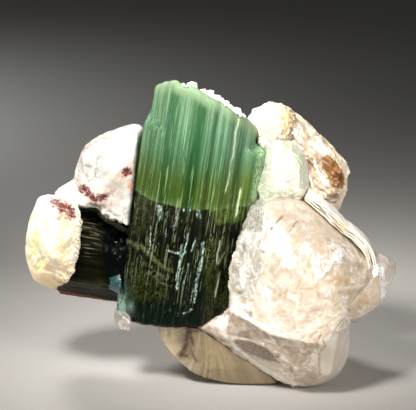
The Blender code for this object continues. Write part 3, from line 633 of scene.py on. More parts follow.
def mainRadius(angles, height):
    # the fluted prism, with its side prism, the left shoulder, and flaked steps on the dark foot
    spec = tourmaline
    radius = prismRadius(spec["faces"], angles)
    degrees = np.degrees(angles)
    side = spec["sidePrismWidth"] * np.exp(-(((degrees + 12 + 180) % 360 - 180) / 19.0) ** 4)
    edge = spec["sidePrismTop"] + 0.25 * np.sin(degrees * 0.35)
    radius = radius + side * (1 - ease(height, edge - 0.7, edge))
    left = np.exp(-(((degrees % 360) - 186) / 34.0) ** 4)
    chipped = spec["shoulderHeight"] + 0.3 * np.sin(degrees * 0.5)
    radius = radius - spec["shoulderStep"] * left * ease(height, chipped, chipped + 0.8)
    x, y = radius * np.cos(angles), radius * np.sin(angles)
    zone = height - spec["zoneHeight"] - spec["zoneRise"] * x
    at = np.stack([x, y, height], -1)
    flakes = smoothNoise(at * (1, 1, 0.28), 0.36, 35) + 0.5 * smoothNoise(at * (1, 1, 0.6), 0.2, 36)
    steps = 0.085 * ease(flakes, 0.1, 0.3) + 0.05 * ease(flakes, -0.35, -0.2)
    foot = 1 - ease(zone, -0.9, 0.1)
    ripples = 0.09 * np.cos(21 * angles + 2 * np.sin(2 * angles))
    radius = radius + fluting(x, y, height) * (1 - 0.25 * foot) + ripples
    return radius + (steps - 0.06) * foot + 0.02 * smoothNoise(at, 0.3, 37) * foot


def makeTourmaline():
    # rings round the axis: the root, the flutes up to the rim, the rounded rim, and the broken top
    spec = tourmaline
    axes = mainAxes()
    angles = math.pi / 2 + np.arange(spec["columns"]) * math.tau / spec["columns"]
    edge = prismRadius(spec["faces"], angles)
    low = spec["rootRiseRight"] * edge * np.cos(angles)
    high = mainTop(edge * np.cos(angles), edge * np.sin(angles))
    share = np.linspace(0, 1, spec["rows"])[:, None]
    heights = low + (high - spec["rim"] - low) * share
    inset = 0.3 * (1 - ease(heights - low, 0, 0.35))
    bend = np.radians(np.linspace(0, 90, spec["rimRings"]))[1:, None]
    heights = np.vstack([heights, high - spec["rim"] * (1 - np.sin(bend))])
    inset = np.vstack([inset, 0.62 * (1 - np.cos(bend)) + 0 * high])
    radius = mainRadius(angles[None] + 0 * heights, heights) - inset
    rings = np.stack([radius * np.cos(angles), radius * np.sin(angles), heights], -1)
    crown = []
    for part in np.linspace(1, 0, spec["crownRings"])[1:-1]:
        x, y = rings[-1, :, 0] * part, rings[-1, :, 1] * part
        flat = np.stack([x, y, 0 * x], -1)
        chips = 0.22 * shards(flat, 1.1, 51)[0] + 0.1 * roughNoise(flat, 0.6, 3, 52)
        crown.append(np.stack([x, y, mainTop(x, y) + chips * (1 - part**6)], -1))
    rings = np.concatenate([rings, np.array(crown)]) @ axes + np.array(spec["root"])
    tips = np.array(((0, 0, 0.05), (0, 0, mainTop(np.array(0.0), np.array(0.0)))))
    tips = tips @ axes + np.array(spec["root"])
    return closedGrid("tourmalineMain", rings, tips[0], tips[1])


def tourmalineMaterial():
    # green above a level across the axis and nearly black below it, streaked and fluted along the axis
    spec = tourmaline
    material, tree, shader = mineral(
        "tourmaline", Roughness=0.2, IOR=1.5, Transmission_Weight=0.02, Specular_IOR_Level=0.14
    )
    axes, root = mainAxes(), spec["root"]

    def streaks(squeeze, scale, detail, roughness):
        # noise drawn out along the crystal
        return noiseOn(tree, stretched(tree, axes, root, (1, 1, squeeze)), scale, detail, roughness)

    middle = streaks(0.035, 2.6, 2.0, 0.5)
    hair = streaks(0.05, 5.5, 3.0, 0.6)
    grit = streaks(0.6, 4.0, 3.0, 0.6)
    thread = streaks(0.014, 7.0, 2.0, 0.5)
    gaps = streaks(0.12, 1.7, 3.0, 0.6)
    own = addNode(tree, "ShaderNodeSeparateXYZ", {"Vector": stretched(tree, axes, root)}).outputs
    zone = calc(tree, "SUBTRACT", own["Z"], spec["zoneHeight"])
    zone = calc(tree, "MULTIPLY_ADD", own["X"], -spec["zoneRise"], zone)

    # the green upper part: a ramp along the axis, lighter and darker by the painted bands
    green = stops(tree, calc(tree, "DIVIDE", sway(tree, middle, 2.2, zone), 15.0), [
        (0.0, tone(72, 94, 50)), (0.05, tone(55, 74, 22)), (0.2, tone(58, 80, 30)), (0.3, tone(62, 92, 52)),
        (0.4, tone(66, 104, 70)), (0.62, tone(86, 126, 92)), (0.85, tone(106, 142, 104)),
    ])
    bands = sway(tree, middle, 0.5, sway(tree, hair, 1.1, painted(tree, "bands")))
    light = stops(tree, calc(tree, "MULTIPLY_ADD", bands, 0.5, 0.5), [
        (0.1, (0.36, 0.55, 0.4, 1)), (0.5, (1, 1, 1, 1)), (0.9, (2.1, 1.75, 2.0, 1)),
    ])
    green = blendColours(tree, 1.0, green, light, "MULTIPLY")
    green = blendColours(tree, 1.0, green, (0.79, 0.78, 0.81, 1), "MULTIPLY")
    thin = times(tree, between(tree, thread, 0.57, 0.62), between(tree, gaps, 0.4, 0.56), 0.32)
    green = layered(tree, green, (
        (between(tree, thread, 0.46, 0.4, 0.0, 0.4), tone(20, 54, 28)),
        (thin, tone(160, 194, 146)),
    ))

    # the dark foot: olive and brown shows, fine lines, and flakes with a painted silvery reflection
    dark = stops(tree, calc(tree, "MULTIPLY", zone, -0.07), [
        (0.0, tone(15, 19, 7)), (0.25, tone(4, 6, 2)), (0.5, tone(6, 11, 2)), (0.75, tone(1, 6, 2)),
        (0.95, tone(0, 9, 5)),
    ])
    spots = speckled(tree, stretched(tree, axes, root), 5.0, painted(tree, "brown"), 0.3)
    lines = times(tree, between(tree, thread, 0.575, 0.62), between(tree, gaps, 0.42, 0.54))
    lines = times(tree, lines, between(tree, zone, -14.0, -8.0, 0.1, 1.0), 0.55)
    flecks = speckled(tree, stretched(tree, axes, root, (1, 1, 0.4)), 4.4, painted(tree, "flakes"), 0.2)
    flecks = times(tree, flecks, between(tree, hair, 0.42, 0.56, 0.25, 1.0))
    flecks = times(tree, flecks, between(tree, grit, 0.36, 0.5, 0.4, 1.0))
    dark = layered(tree, dark, (
        (between(tree, middle, 0.5, 0.66, 0.0, 0.4), tone(26, 36, 16)),
        (times(tree, painted(tree, "olive"), between(tree, grit, 0.4, 0.6)), tone(58, 66, 24)),
        (times(tree, spots, 0.7), tone(96, 98, 62)),
        (painted(tree, "under"), mottled(tree, hair, 0.42, 0.6, tone(30, 42, 14), tone(84, 104, 44))),
        (lines, tone(112, 118, 88)),
        # flakes, silvery by a painted reflection
        (times(tree, flecks, 0.95), mottled(tree, grit, 0.42, 0.6, tone(78, 96, 84), tone(158, 180, 172))),
    ))

    ragged = sway(tree, hair, 0.5, zone)
    colour = blendColours(tree, between(tree, ragged, -0.12, 0.1), dark, green)
    colour = layered(tree, colour, (
        # painted highlight: the rounded rim is lighter where it catches the light from above
        (times(tree, painted(tree, "rim"), 0.85), tone(126, 150, 116)),
        # painted glints along the right edge
        (times(tree, painted(tree, "glint"), between(tree, gaps, 0.4, 0.54, 0.25, 1.0)), tone(214, 232, 196)),
        (times(tree, painted(tree, "teal"), between(tree, grit, 0.36, 0.58, 0.35, 1.0)), tone(136, 168, 152)),
        (times(tree, painted(tree, "side"), between(tree, grit, 0.38, 0.6, 0.25, 0.9)), tone(142, 168, 130)),
    ))
    relief = calc(tree, "MULTIPLY_ADD", hair, 0.7, middle)
    relief = calc(tree, "MULTIPLY_ADD", flecks, 0.3, relief)
    rough = between(tree, zone, -0.3, 0.3, 0.11, 0.18)
    feed(tree, shader, Base_Color=colour, Roughness=rough, Normal=bumpOn(tree, relief, 0.13, 1.0))
    return material


def dressTourmaline():
    # its masks: the painted highlight of the rounded rim, the light and dark flutes, the side prism and the
    # marks
    spec = tourmaline
    piece = makeTourmaline()
    own = (meshPoints(piece) - spec["root"]) @ mainAxes().T
    front = (own[:, 1] < 0) * 1.0
    bands = sum(level * np.exp(-(((own[:, 0] - spot) / wide) ** 2)) for spot, wide, level in spec["bands"])
    around = smoothNoise(own * (1, 1, 0.03), 0.8, 38)
    paint(piece, front, spec["wobble"], spec["marks"])
    # painted highlight along the rounded rim, just under the broken top
    addMask(piece, "rim", ease(own[:, 2] - mainTop(own[:, 0], own[:, 1]), -1.6, -0.7))
    addMask(piece, "bands", np.where(front > 0, bands, around))
    addMask(piece, "side", ease(own[:, 0], 6.3, 6.9) * ease(own[:, 2], 13, 15))
    place(piece, "tourmaline_main", tourmalineMaterial())


sideTourmaline = dict(
    centre=(-14.95, 3.0, 14.25), axis=(1.0, 0.055, -0.17), across=(0.17, 0.0, 1.0), ends=(-1.9, 7.5),
    faces=((-100, 4.9), (-52, 5.0), (-8, 5.0), (40, 5.1), (90, 5.0), (140, 4.9), (-170, 5.0), (-140, 5.0)),
    rows=70, columns=420,
    tornEdge=((80, 206), (98, 210), (106, 219), (117, 225), (127, 231)),
    tornCorner=((78, 204), (98, 206)), glow=((60, 291.5), (90, 297), (118, 302.3)),
    olive=((63, 284, 9, 5), (99, 286, 7, 5), (118, 216, 5, 2), (85, 284, 8, 3)),
    pale=((88, 214, 12, 8), (88, 232, 10, 12), (88, 250, 6, 5)),
    grit=((116, 231, 15, 9), (117, 243, 9, 9), (119, 254, 12, 12)),
)


def sideRadius(angles, along):
    # the fluted prism, ragged where it meets the large one on its upper side
    radius = prismRadius(sideTourmaline["faces"], angles)
    x, y = radius * np.cos(angles), radius * np.sin(angles)
    at = np.stack([x, y, along * 0.05], -1)
    waves = 0.05 * smoothNoise(at, 0.8, 61) + 0.05 * smoothNoise(at * (1, 1, 2), 0.35, 62)
    broken = ease(along, 0.4, 3.6) * ease(np.cos(angles), 0.2, 0.9)
    spot = np.stack([x, y, along], -1)
    flat, _, pick = shards(spot, 0.7, 63)
    depth = 0.6 + 0.125 * np.maximum(0, along) + 0.8 * flat + 0.4 * (pick - 0.5)
    return radius + waves - broken * depth + 0.03 * smoothNoise(spot, 0.3, 64)


def makeSideTourmaline():
    # rings from the left end to the right one, the left rim drawn in a little
    spec = sideTourmaline
    axes = crystalAxes(spec["axis"], spec["across"])
    angles = math.pi + np.arange(spec["columns"]) * math.tau / spec["columns"]
    along = np.linspace(spec["ends"][0], spec["ends"][1], spec["rows"])[:, None] + 0 * angles
    inset = 0.35 * (1 - ease(along - spec["ends"][0], 0, 0.5))
    radius = sideRadius(angles[None] + 0 * along, along) - inset
    rings = np.stack([radius * np.cos(angles), radius * np.sin(angles), along], -1)
    rings = rings @ axes + np.array(spec["centre"])
    tips = np.array([(0, 0, end) for end in spec["ends"]]) @ axes + np.array(spec["centre"])
    return closedGrid("tourmalineSide", rings, tips[0], tips[1])


def sideMaterial():
    # nearly black with olive shows, pale flutes near its left end and a red-brown glow along its lower edge
    spec = sideTourmaline
    material, tree, shader = mineral("darkTourmaline", Roughness=0.28, IOR=1.5, Specular_IOR_Level=0.06)
    axes = crystalAxes(spec["axis"], spec["across"])
    streaked = stretched(tree, axes, spec["centre"], (1, 1, 0.06))
    hair = noiseOn(tree, streaked, 5.0, 3.0, 0.6)
    middle = noiseOn(tree, streaked, 1.6, 2.0, 0.5)
    grit = speckled(tree, stretched(tree), 5.0, painted(tree, "grit"))
    colour = stops(tree, middle, [(0.3, tone(4, 4, 1)), (0.6, tone(12, 11, 3)), (0.8, tone(26, 23, 7))])
    colour = layered(tree, colour, (
        # painted shade: the right end goes near black
        (painted(tree, "deep"), tone(1, 3, 3)),
        (painted(tree, "olive"), tone(92, 88, 34)),
        (times(tree, between(tree, hair, 0.52, 0.66), painted(tree, "pale")), tone(150, 146, 120)),
        (grit, tone(168, 184, 152)),
        (painted(tree, "glow"), tone(136, 62, 40)),
    ))
    relief = calc(tree, "MULTIPLY_ADD", grit, 0.5, calc(tree, "MULTIPLY_ADD", hair, 0.6, middle))
    feed(tree, shader, Base_Color=colour, Normal=bumpOn(tree, relief, 0.08, 0.9))
    return material


def dressSideTourmaline():
    # its masks: the right end painted near black as shade, and soft spots and lines read from its dictionary
    spec = sideTourmaline
    piece = makeSideTourmaline()
    sheet = onSheet(meshPoints(piece))
    torn = np.maximum(stroke(sheet, spec["tornEdge"], 4.0), 1.1 * stroke(sheet, spec["tornCorner"], 4.0))
    # painted shade: the right end, where it runs into shade beside the large crystal, goes near black
    addMask(piece, "deep", ease(sheet[:, 0], 100, 108))
    addMask(piece, "olive", 0.2 * dabs(sheet, spec["olive"]))
    addMask(piece, "pale", 0.55 * dabs(sheet, spec["pale"]))
    addMask(piece, "grit", np.maximum(0.8 * torn, 0.46 * dabs(sheet, spec["grit"])))
    addMask(piece, "glow", 0.55 * stroke(sheet, spec["glow"], 1.2))
    place(piece, "tourmaline_side", sideMaterial())


quartzRight = dict(
    node="quartz_right", slot="quartz", around=0.6, wobble=0.9, centre=(10.8, -7.25, 8.0), rows=184,
    columns=372, sharpness=46, blend=0.7,
    marks=dict(
        frost=(
            oval(290, 250, 46, 22, level=0.42), oval(270, 300, 40, 26, level=0.45),
            oval(240, 268, 14, 34, level=0.45), oval(262, 245, 6, 7), oval(272, 242, 8, 10, level=0.8),
            oval(283, 252, 12, 9), oval(290, 262, 12, 7, level=0.8), oval(306, 244, 10, 5, level=0.7),
            oval(337, 254, 8, 14), oval(331, 244, 10, 7, level=0.8), oval(350, 270, 10, 6, level=0.6),
            oval(262, 268, 10, 8, level=0.7), oval(237, 262, 7, 9, level=0.7), oval(264, 292, 9, 14, -30),
            oval(281, 284, 8, 5, level=0.7), oval(312, 306, 14, 6, level=0.5), oval(325, 293, 4, 5),
            oval(344, 297, 6, 2), oval(244, 306, 12, 4, 25), oval(274, 324, 14, 5, 30, level=0.8),
            oval(356, 262, 9, 8, level=0.55), oval(280, 197, 20, 3, level=0.7),
        ),
        upper=(area((258, 192), (318, 198), (352, 262), (318, 290), (258, 286), soft=9),),
        calm=(area((266, 200), (318, 202), (344, 236), (300, 238), (266, 232), soft=8, level=0.75),),
        # painted light: the lower parts, which face down into shade, made lighter to stand in for light
        # reaching them through the crystal and from the floor
        lower=(
            area(
                (228, 290), (262, 273), (318, 276), (346, 288), (352, 332), (320, 345), (262, 326), soft=6
            ),
            area(
                (214, 338), (240, 350), (264, 360), (284, 368), (298, 386), (282, 386), (262, 374),
                (236, 358), soft=2
            ),
        ),
        cool=(
            area(
                (241, 228), (244, 211), (254, 200), (263, 195), (264, 232), (262, 262), (250, 300),
                (232, 302), (226, 262), soft=4
            ),
        ),
        grey=(
            area((243, 227), (246, 211), (254, 202), (263, 197), (264, 231), (252, 232), soft=1.5),
            oval(243, 252, 5, 10, 15, level=0.5), oval(234, 280, 5, 14, level=0.6),
            oval(255, 262, 6, 12, level=0.35), oval(306, 214, 12, 4, level=0.3),
        ),
        # painted shade and dark reflections on the clear facets that face down
        shade=(
            area((198, 326), (212, 321), (219, 331), (227, 344), (213, 336), soft=1.2, level=0.5),
            area(
                (227, 309), (233, 312), (250, 319), (262, 327), (269, 334), (271, 343), (262, 341),
                (246, 337), (226, 335), soft=1.2, level=0.72
            ),
            area(
                (268, 334), (285, 332), (300, 339), (317, 345), (308, 355), (296, 365), (286, 358),
                (278, 345), level=0.6
            ),
            area(
                (279, 345), (290, 338), (300, 342), (314, 347), (307, 356), (297, 366), (286, 358),
                soft=0.9, level=0.62
            ),
            area(
                (297, 366), (308, 356), (316, 350), (318, 362), (317, 379), (309, 385), (299, 382),
                level=0.25
            ),
            oval(250, 313, 4, 3, level=0.4),
        ),
        # the darkest painted shade and dark reflection, in the lowest facet
        deep=(
            area(
                (234, 338), (246, 339), (258, 342), (267, 347), (274, 355), (281, 363), (262, 358),
                (246, 352), (236, 346), soft=0.9
            ),
        ),
        # painted highlights: a lit face and light lines along the facets' edges
        bright=(
            area((231, 303), (244, 305), (248, 315), (257, 323), (243, 317), (231, 309)),
            area((213, 321), (227, 315), (226, 342), (220, 331), soft=1.0, level=0.85),
            area(
                (226, 345), (246, 356), (262, 362), (284, 369), (297, 384), (284, 382), (262, 371),
                (238, 358), soft=1.5, level=0.4
            ),
            line((338, 287), (350, 286.5), (362, 284), width=1.3, level=0.35),
            line((245, 316), (256, 323), width=1.4),
            line((268, 333), (280, 352), (296, 366), width=1.0, level=0.12),
            line((264, 327), (280, 334), (300, 341), width=2.0, level=0.5),
            line((219, 326), (236, 346), (262, 368), (284, 383), width=1.6, level=0.7),
        ),
        # partly tan colour, partly painted shade under the overhanging lobe
        tan=(
            area((336, 290), (369, 287), (362, 305), (351, 324), (346, 302), soft=2, level=0.6),
            line((308, 202), (325, 219), (345, 233), (358, 246), (366, 262), width=2.2, level=0.8),
            oval(315, 264, 13, 14, level=0.3), oval(337, 279, 14, 7, level=0.8),
            oval(351, 275, 12, 9, level=0.4), oval(328, 276, 4, 5, level=0.5),
            oval(277, 291, 4, 6, level=0.35),
            line((334, 291), (350, 290), (366, 287), width=2.4, level=0.7), oval(354, 238, 5, 6, level=0.4),
        ),
        needle=(
            line((268, 233), (273, 225), (281, 217), width=1.1),
            line((287, 232), (297, 221), width=0.8, level=0.7),
            line((320, 334), (316, 344), (318, 352), (319, 374), width=1.0, level=0.5),
            line((322, 340), (324, 345), (320, 350), width=0.9, level=0.6),
            line((264, 197), (265, 215), (264, 232), width=0.7, level=0.25),
            line((290, 366), (297, 381), width=0.8, level=0.6),
            line((226, 333), (246, 337), (262, 341), width=0.8, level=0.5),
        ),
        pit=(
            oval(243, 247, 1.5, 4), oval(262, 251, 1.6, 1.6), oval(236, 277, 1.6, 3),
            oval(233, 270, 1.4, 2), oval(239, 292, 3.0, 1.5, -30), oval(236, 283, 2, 1.5),
            oval(276, 355, 3, 2), oval(242, 229, 2, 1.5),
        ),
        column=(
            area(
                (322, 322), (330, 300), (349, 298), (356, 345), (344, 384), (318, 394), (290, 394),
                (300, 366), (318, 350), soft=4
            ),
        ),
    ),
    block=(
        (5.5, -2, 22.4), (7, -5, 23), (10.8, -5, 22.9), (6, -8, 22.9), (3.8, -5.5, 20.8), (3.2, -5.5, 18),
        (2.1, -6, 15.8), (1.7, -6.5, 14.5), (1.7, -7, 12.2), (2.1, -7.5, 10.1), (4.6, -10, 9.6),
        (6.9, -11, 8.2), (10, -11.5, 7.8), (12.6, -11, 7.2), (14.3, -10.6, 9.0), (6, -11.5, 16.9),
        (10.3, -11, 19.4), (11.7, -12.5, 14.4), (14.6, -11.3, 13.7), (16.7, -9.4, 13.4), (18.6, -6, 13.5),
        (18.6, -5, 15.0), (17.9, -3, 15.9), (15.6, -2.5, 17.9), (14.6, -10.7, 17.4), (6, 3, 18.9),
        (11.5, 4, 18.4), (16.1, 4, 13.6), (17.7, 2, 11.4), (13.8, 3, 5.2), (6, 1, 4.6),
    ),
    under=(
        (-2.1, -1, 6), (-1.4, -5.4, 7.2), (0.2, -5.9, 8.1), (1.9, -6.6, 8.9), (1.8, -6.9, 6.3),
        (2.1, -7.3, 10), (4.6, -9.8, 9.6), (6.9, -10.8, 8.2), (10, -11.3, 7.7), (12.5, -10.5, 7.3),
        (1.8, -6.3, 6.7), (6, -9.7, 7.3), (2.6, -6.5, 5.8), (5.2, -8.2, 5), (7.8, -9, 4.7),
        (9.8, -9.3, 3.9), (3.5, -5, 3.9), (6, -5.3, 1.9), (6.9, -5.2, 1.2), (8.4, -5.4, 0.5),
        (9.5, -5.3, 0.3), (3.5, 3, 4.6), (10.3, 2, 1.3), (6.9, -1, 0.8), (10.3, -4, 11.4),
    ),
    column=(
        (11, -11, 8), (12.5, -10.8, 7.3), (12.7, -11.2, 10.1), (13.9, -10.2, 9.3), (15.6, -7.5, 8.6),
        (16, -5, 10.1), (16.2, -4.5, 7.7), (16.2, -4.5, 4.9), (15.8, -4.8, 3), (15.1, -5, 1.7),
        (14, -5, 0.7), (12.4, -5.1, 0.1), (10.3, -5.2, 0), (9.5, -5.6, 0.6), (9.8, -9.2, 3.8),
        (11.7, -9.9, 5.2), (14.7, -7.8, 5.9), (13.8, -9, 12.8), (10.3, -6, 11.9), (16, 1, 5.8),
        (15.9, 1, 2.8), (14.5, 2, 0), (10.3, 2, 0), (9.2, 1, 6.4), (13.4, -10.7, 7.6), (14.2, -9.8, 5.4),
        (13.7, -8.8, 2.6), (14.5, -9.9, 8.4),
    ),
    undercut=((336, 291), (374, 288), (374, 308), (353, 318), (346, 306)),
)


def quartzRelief(points):
    # hackly shards and grit on the frosted parts, smooth on the clear facets and the column
    marks = quartzRight["marks"]
    sheet = onSheet(points)
    front = ease(-points[..., 1], 1.0, 3.0)
    facets = [mark["area"] for name in ("shade", "deep", "column") for mark in marks[name] if "area" in mark]
    clear = [patch(sheet, facet, 2.0) for facet in facets]
    clear.append(0.75 * patch(sheet, marks["calm"][0]["area"], 8.0))
    smooth = np.max(clear, axis=0) * front
    left = ease(-sheet[..., 0], -266, -240)
    flat = shards(points, 1.7, 71)[0]
    small, _, pick = shards(points, 0.7, 75)
    relief = (1 - smooth) * (0.2 * flat + 0.16 * small + 0.03 * roughNoise(points, 0.5, 3, 78))
    relief += left * (1 - smooth) * (0.2 * flat + 0.25 * small + 0.15 * (pick - 0.5))
    relief -= 0.35 * dabs(sheet, [mark["oval"] for mark in marks["pit"]]) * front
    # the first two needles lie inside the crystal, and the others are cracks in it
    cracks = [stroke(sheet, mark["line"], 1.2) for mark in marks["needle"][2:]]
    relief -= 0.12 * np.max(cracks, axis=0) * front
    relief += 0.1 * patch(sheet, marks["bright"][0]["area"], 1.5) * front
    relief -= 0.4 * patch(sheet, quartzRight["undercut"], 1.5) * front
    relief += smooth * 0.04 * smoothNoise(points, 1.6, 79)
    return relief - 0.04


def quartzMaterial():
    # cream to peach, veiled with white frost and broken by clear grey facets, the lower ones painted darker
    # as shade and dark reflections
    material, tree, shader = mineral(
        "quartz", Roughness=0.2, IOR=1.544, Transmission_Weight=0.3, Coat_Weight=0.7, Coat_Roughness=0.04,
        Subsurface_Weight=0.6, Subsurface_Scale=0.0012, Subsurface_Radius=(1.0, 0.9, 0.75)
    )
    vector = stretched(tree)
    cloud = noiseOn(tree, vector, 0.3, 3.0, 0.5, 0.5)
    veil = noiseOn(tree, vector, 0.8, 4.0, 0.52, 1.0)
    fine = noiseOn(tree, vector, 3.2, 5.0, 0.7, 0.6)
    grains = noiseOn(tree, vector, 4.6, 4.0, 0.65, 0.3)
    fewer = between(tree, painted(tree, "upper"), 0.0, 1.0, 1.0, 0.5)
    cool = stops(tree, cloud, [(0.35, tone(186, 187, 180)), (0.6, tone(216, 214, 206))])
    frosted = between(tree, calc(tree, "MAXIMUM", painted(tree, "frost"), painted(tree, "cool")), 0.1, 0.6)
    # painted sparkle: white glints in the frosted parts
    glitter = times(tree, frosted, between(tree, veil, 0.42, 0.54))
    glitter = times(tree, between(tree, grains, 0.53, 0.63, 0.0, 0.85), glitter)
    frost = speckled(tree, vector, 2.6, times(tree, painted(tree, "frost"), 0.86), 0.18)
    # painted highlights along the edges of the facets
    edgeHighlights = times(tree, painted(tree, "bright"), between(tree, fine, 0.3, 0.5, 0.6, 1.0))
    colour = stops(tree, cloud, [
        (0.3, tone(219, 205, 185)), (0.5, tone(206, 192, 174)), (0.7, tone(221, 203, 181)),
    ])
    colour = blendColours(tree, painted(tree, "upper"), colour, (0.88, 0.87, 0.86, 1), "MULTIPLY")
    colour = layered(tree, colour, (
        # painted light on the lower parts, which lie in shade
        (times(tree, painted(tree, "lower"), 0.45), tone(246, 230, 212)),
        (painted(tree, "cool"), cool),
        (times(tree, between(tree, veil, 0.5, 0.62, 0.0, 0.7), fewer), tone(252, 246, 236)),
        (between(tree, veil, 0.46, 0.34, 0.0, 0.6), tone(190, 170, 144)),
        (between(tree, grains, 0.44, 0.34, 0.0, 0.08), tone(172, 150, 126)),
        # painted sparkle
        (glitter, tone(255, 252, 246)),
        (painted(tree, "grey"), mottled(tree, fine, 0.35, 0.65, tone(146, 145, 135), tone(206, 204, 194))),
        (painted(tree, "column"), mottled(tree, cloud, 0.35, 0.65, tone(204, 194, 180), tone(224, 214, 200))),
        # tan, partly painted shade under the lobe
        (painted(tree, "tan"), mottled(tree, fine, 0.35, 0.65, tone(178, 148, 104), tone(208, 184, 144))),
        # painted shade and dark reflections on the facets
        (painted(tree, "shade"), mottled(tree, veil, 0.35, 0.62, tone(132, 114, 98), tone(190, 174, 156))),
        (painted(tree, "deep"), mottled(tree, fine, 0.38, 0.62, tone(100, 84, 70), tone(146, 126, 108))),
        (painted(tree, "pit"), tone(134, 128, 116)),
        (painted(tree, "needle"), tone(112, 106, 68)),
        # white: real frost specks and the painted highlights along the edges
        (calc(tree, "MAXIMUM", frost, edgeHighlights), tone(255, 255, 252)),
    ))
    shine = calc(tree, "MAXIMUM", painted(tree, "shade"), painted(tree, "column"))
    shine = calc(tree, "MAXIMUM", shine, painted(tree, "calm"))
    rough = between(tree, calc(tree, "SUBTRACT", frost, shine), -0.6, 1.0, 0.08, 0.55)
    relief = crumbled(tree, vector, 1.9, 0.15)["Height"]
    relief = times(tree, relief, between(tree, shine, 0.0, 1.0, 1.0, 0.15))
    relief = times(tree, relief, between(tree, frosted, 0.0, 1.0, 0.35, 1.0))
    relief = calc(tree, "MULTIPLY_ADD", frost, 0.4, relief)
    feed(tree, shader, Base_Color=colour, Roughness=rough, Normal=bumpOn(tree, relief, 0.12, 0.8))
    return material


quartzNub = dict(
    node="quartz_nub", slot="quartz", around=0.7, wobble=1.0, rows=88, columns=190, sharpness=60,
    corners=(
        (18.5, -1, 15.3), (19.3, -1, 15.1), (20.5, -0.5, 14.3), (21.3, 0, 13.5), (21.4, 0, 12.4),
        (20.8, -0.5, 11), (20.2, -1.6, 9.9), (19.1, -2.6, 8.9), (17.2, -3.2, 7.9), (16.1, -2.8, 7.3),
        (15.5, -4.2, 9.3), (16.3, -4.5, 11.5), (18.6, -4.5, 12.7), (20.1, -3.5, 13.9), (18.6, -3.8, 14.7),
        (19.3, -4, 11.1), (17.9, -4.5, 10.2), (20.1, 5, 11.8), (20.9, 5, 10.9), (20.1, 6, 7.3),
        (16.7, 6, 4.3), (15.5, 6, 7.3), (17.8, 6, 11.1),
    ),
    marks=dict(
        frost=(
            line((378, 264), (383, 280), (382, 296), width=5, level=0.95), oval(370, 258, 5, 4, level=0.5),
        ),
        # partly tan colour, partly painted shade on the nub's lower left
        tan=(
            oval(362, 298, 16, 9, level=0.45), oval(354, 308, 9, 9, level=0.35),
            oval(374, 272, 3, 9, level=0.4),
        ),
        grey=(oval(376, 304, 8, 8, level=0.35),), upper=(), calm=(),
        # painted light on the nub's lower part, which lies in the quartz's shade
        lower=(oval(368, 288, 34, 36, level=1.2),), column=(oval(388, 272, 16, 22, level=0.9),), shade=(),
        deep=(), bright=(), pit=(), cool=(),
        needle=(line((378, 264), (377, 282), (380, 296), width=1.0, level=0.35),),
    ),
    strip=((380, 262), (382, 280), (380, 298)),
)


def nubRelief(points):
    # low shards, and a rough bright strip along the right edge
    strip = stroke(onSheet(points), quartzNub["strip"], 4.0)
    relief = 0.12 * shards(points, 1.4, 81)[0] + 0.04 * roughNoise(points, 0.7, 3, 83)
    return relief + 0.2 * strip * shards(points, 0.6, 86)[0] - 0.03


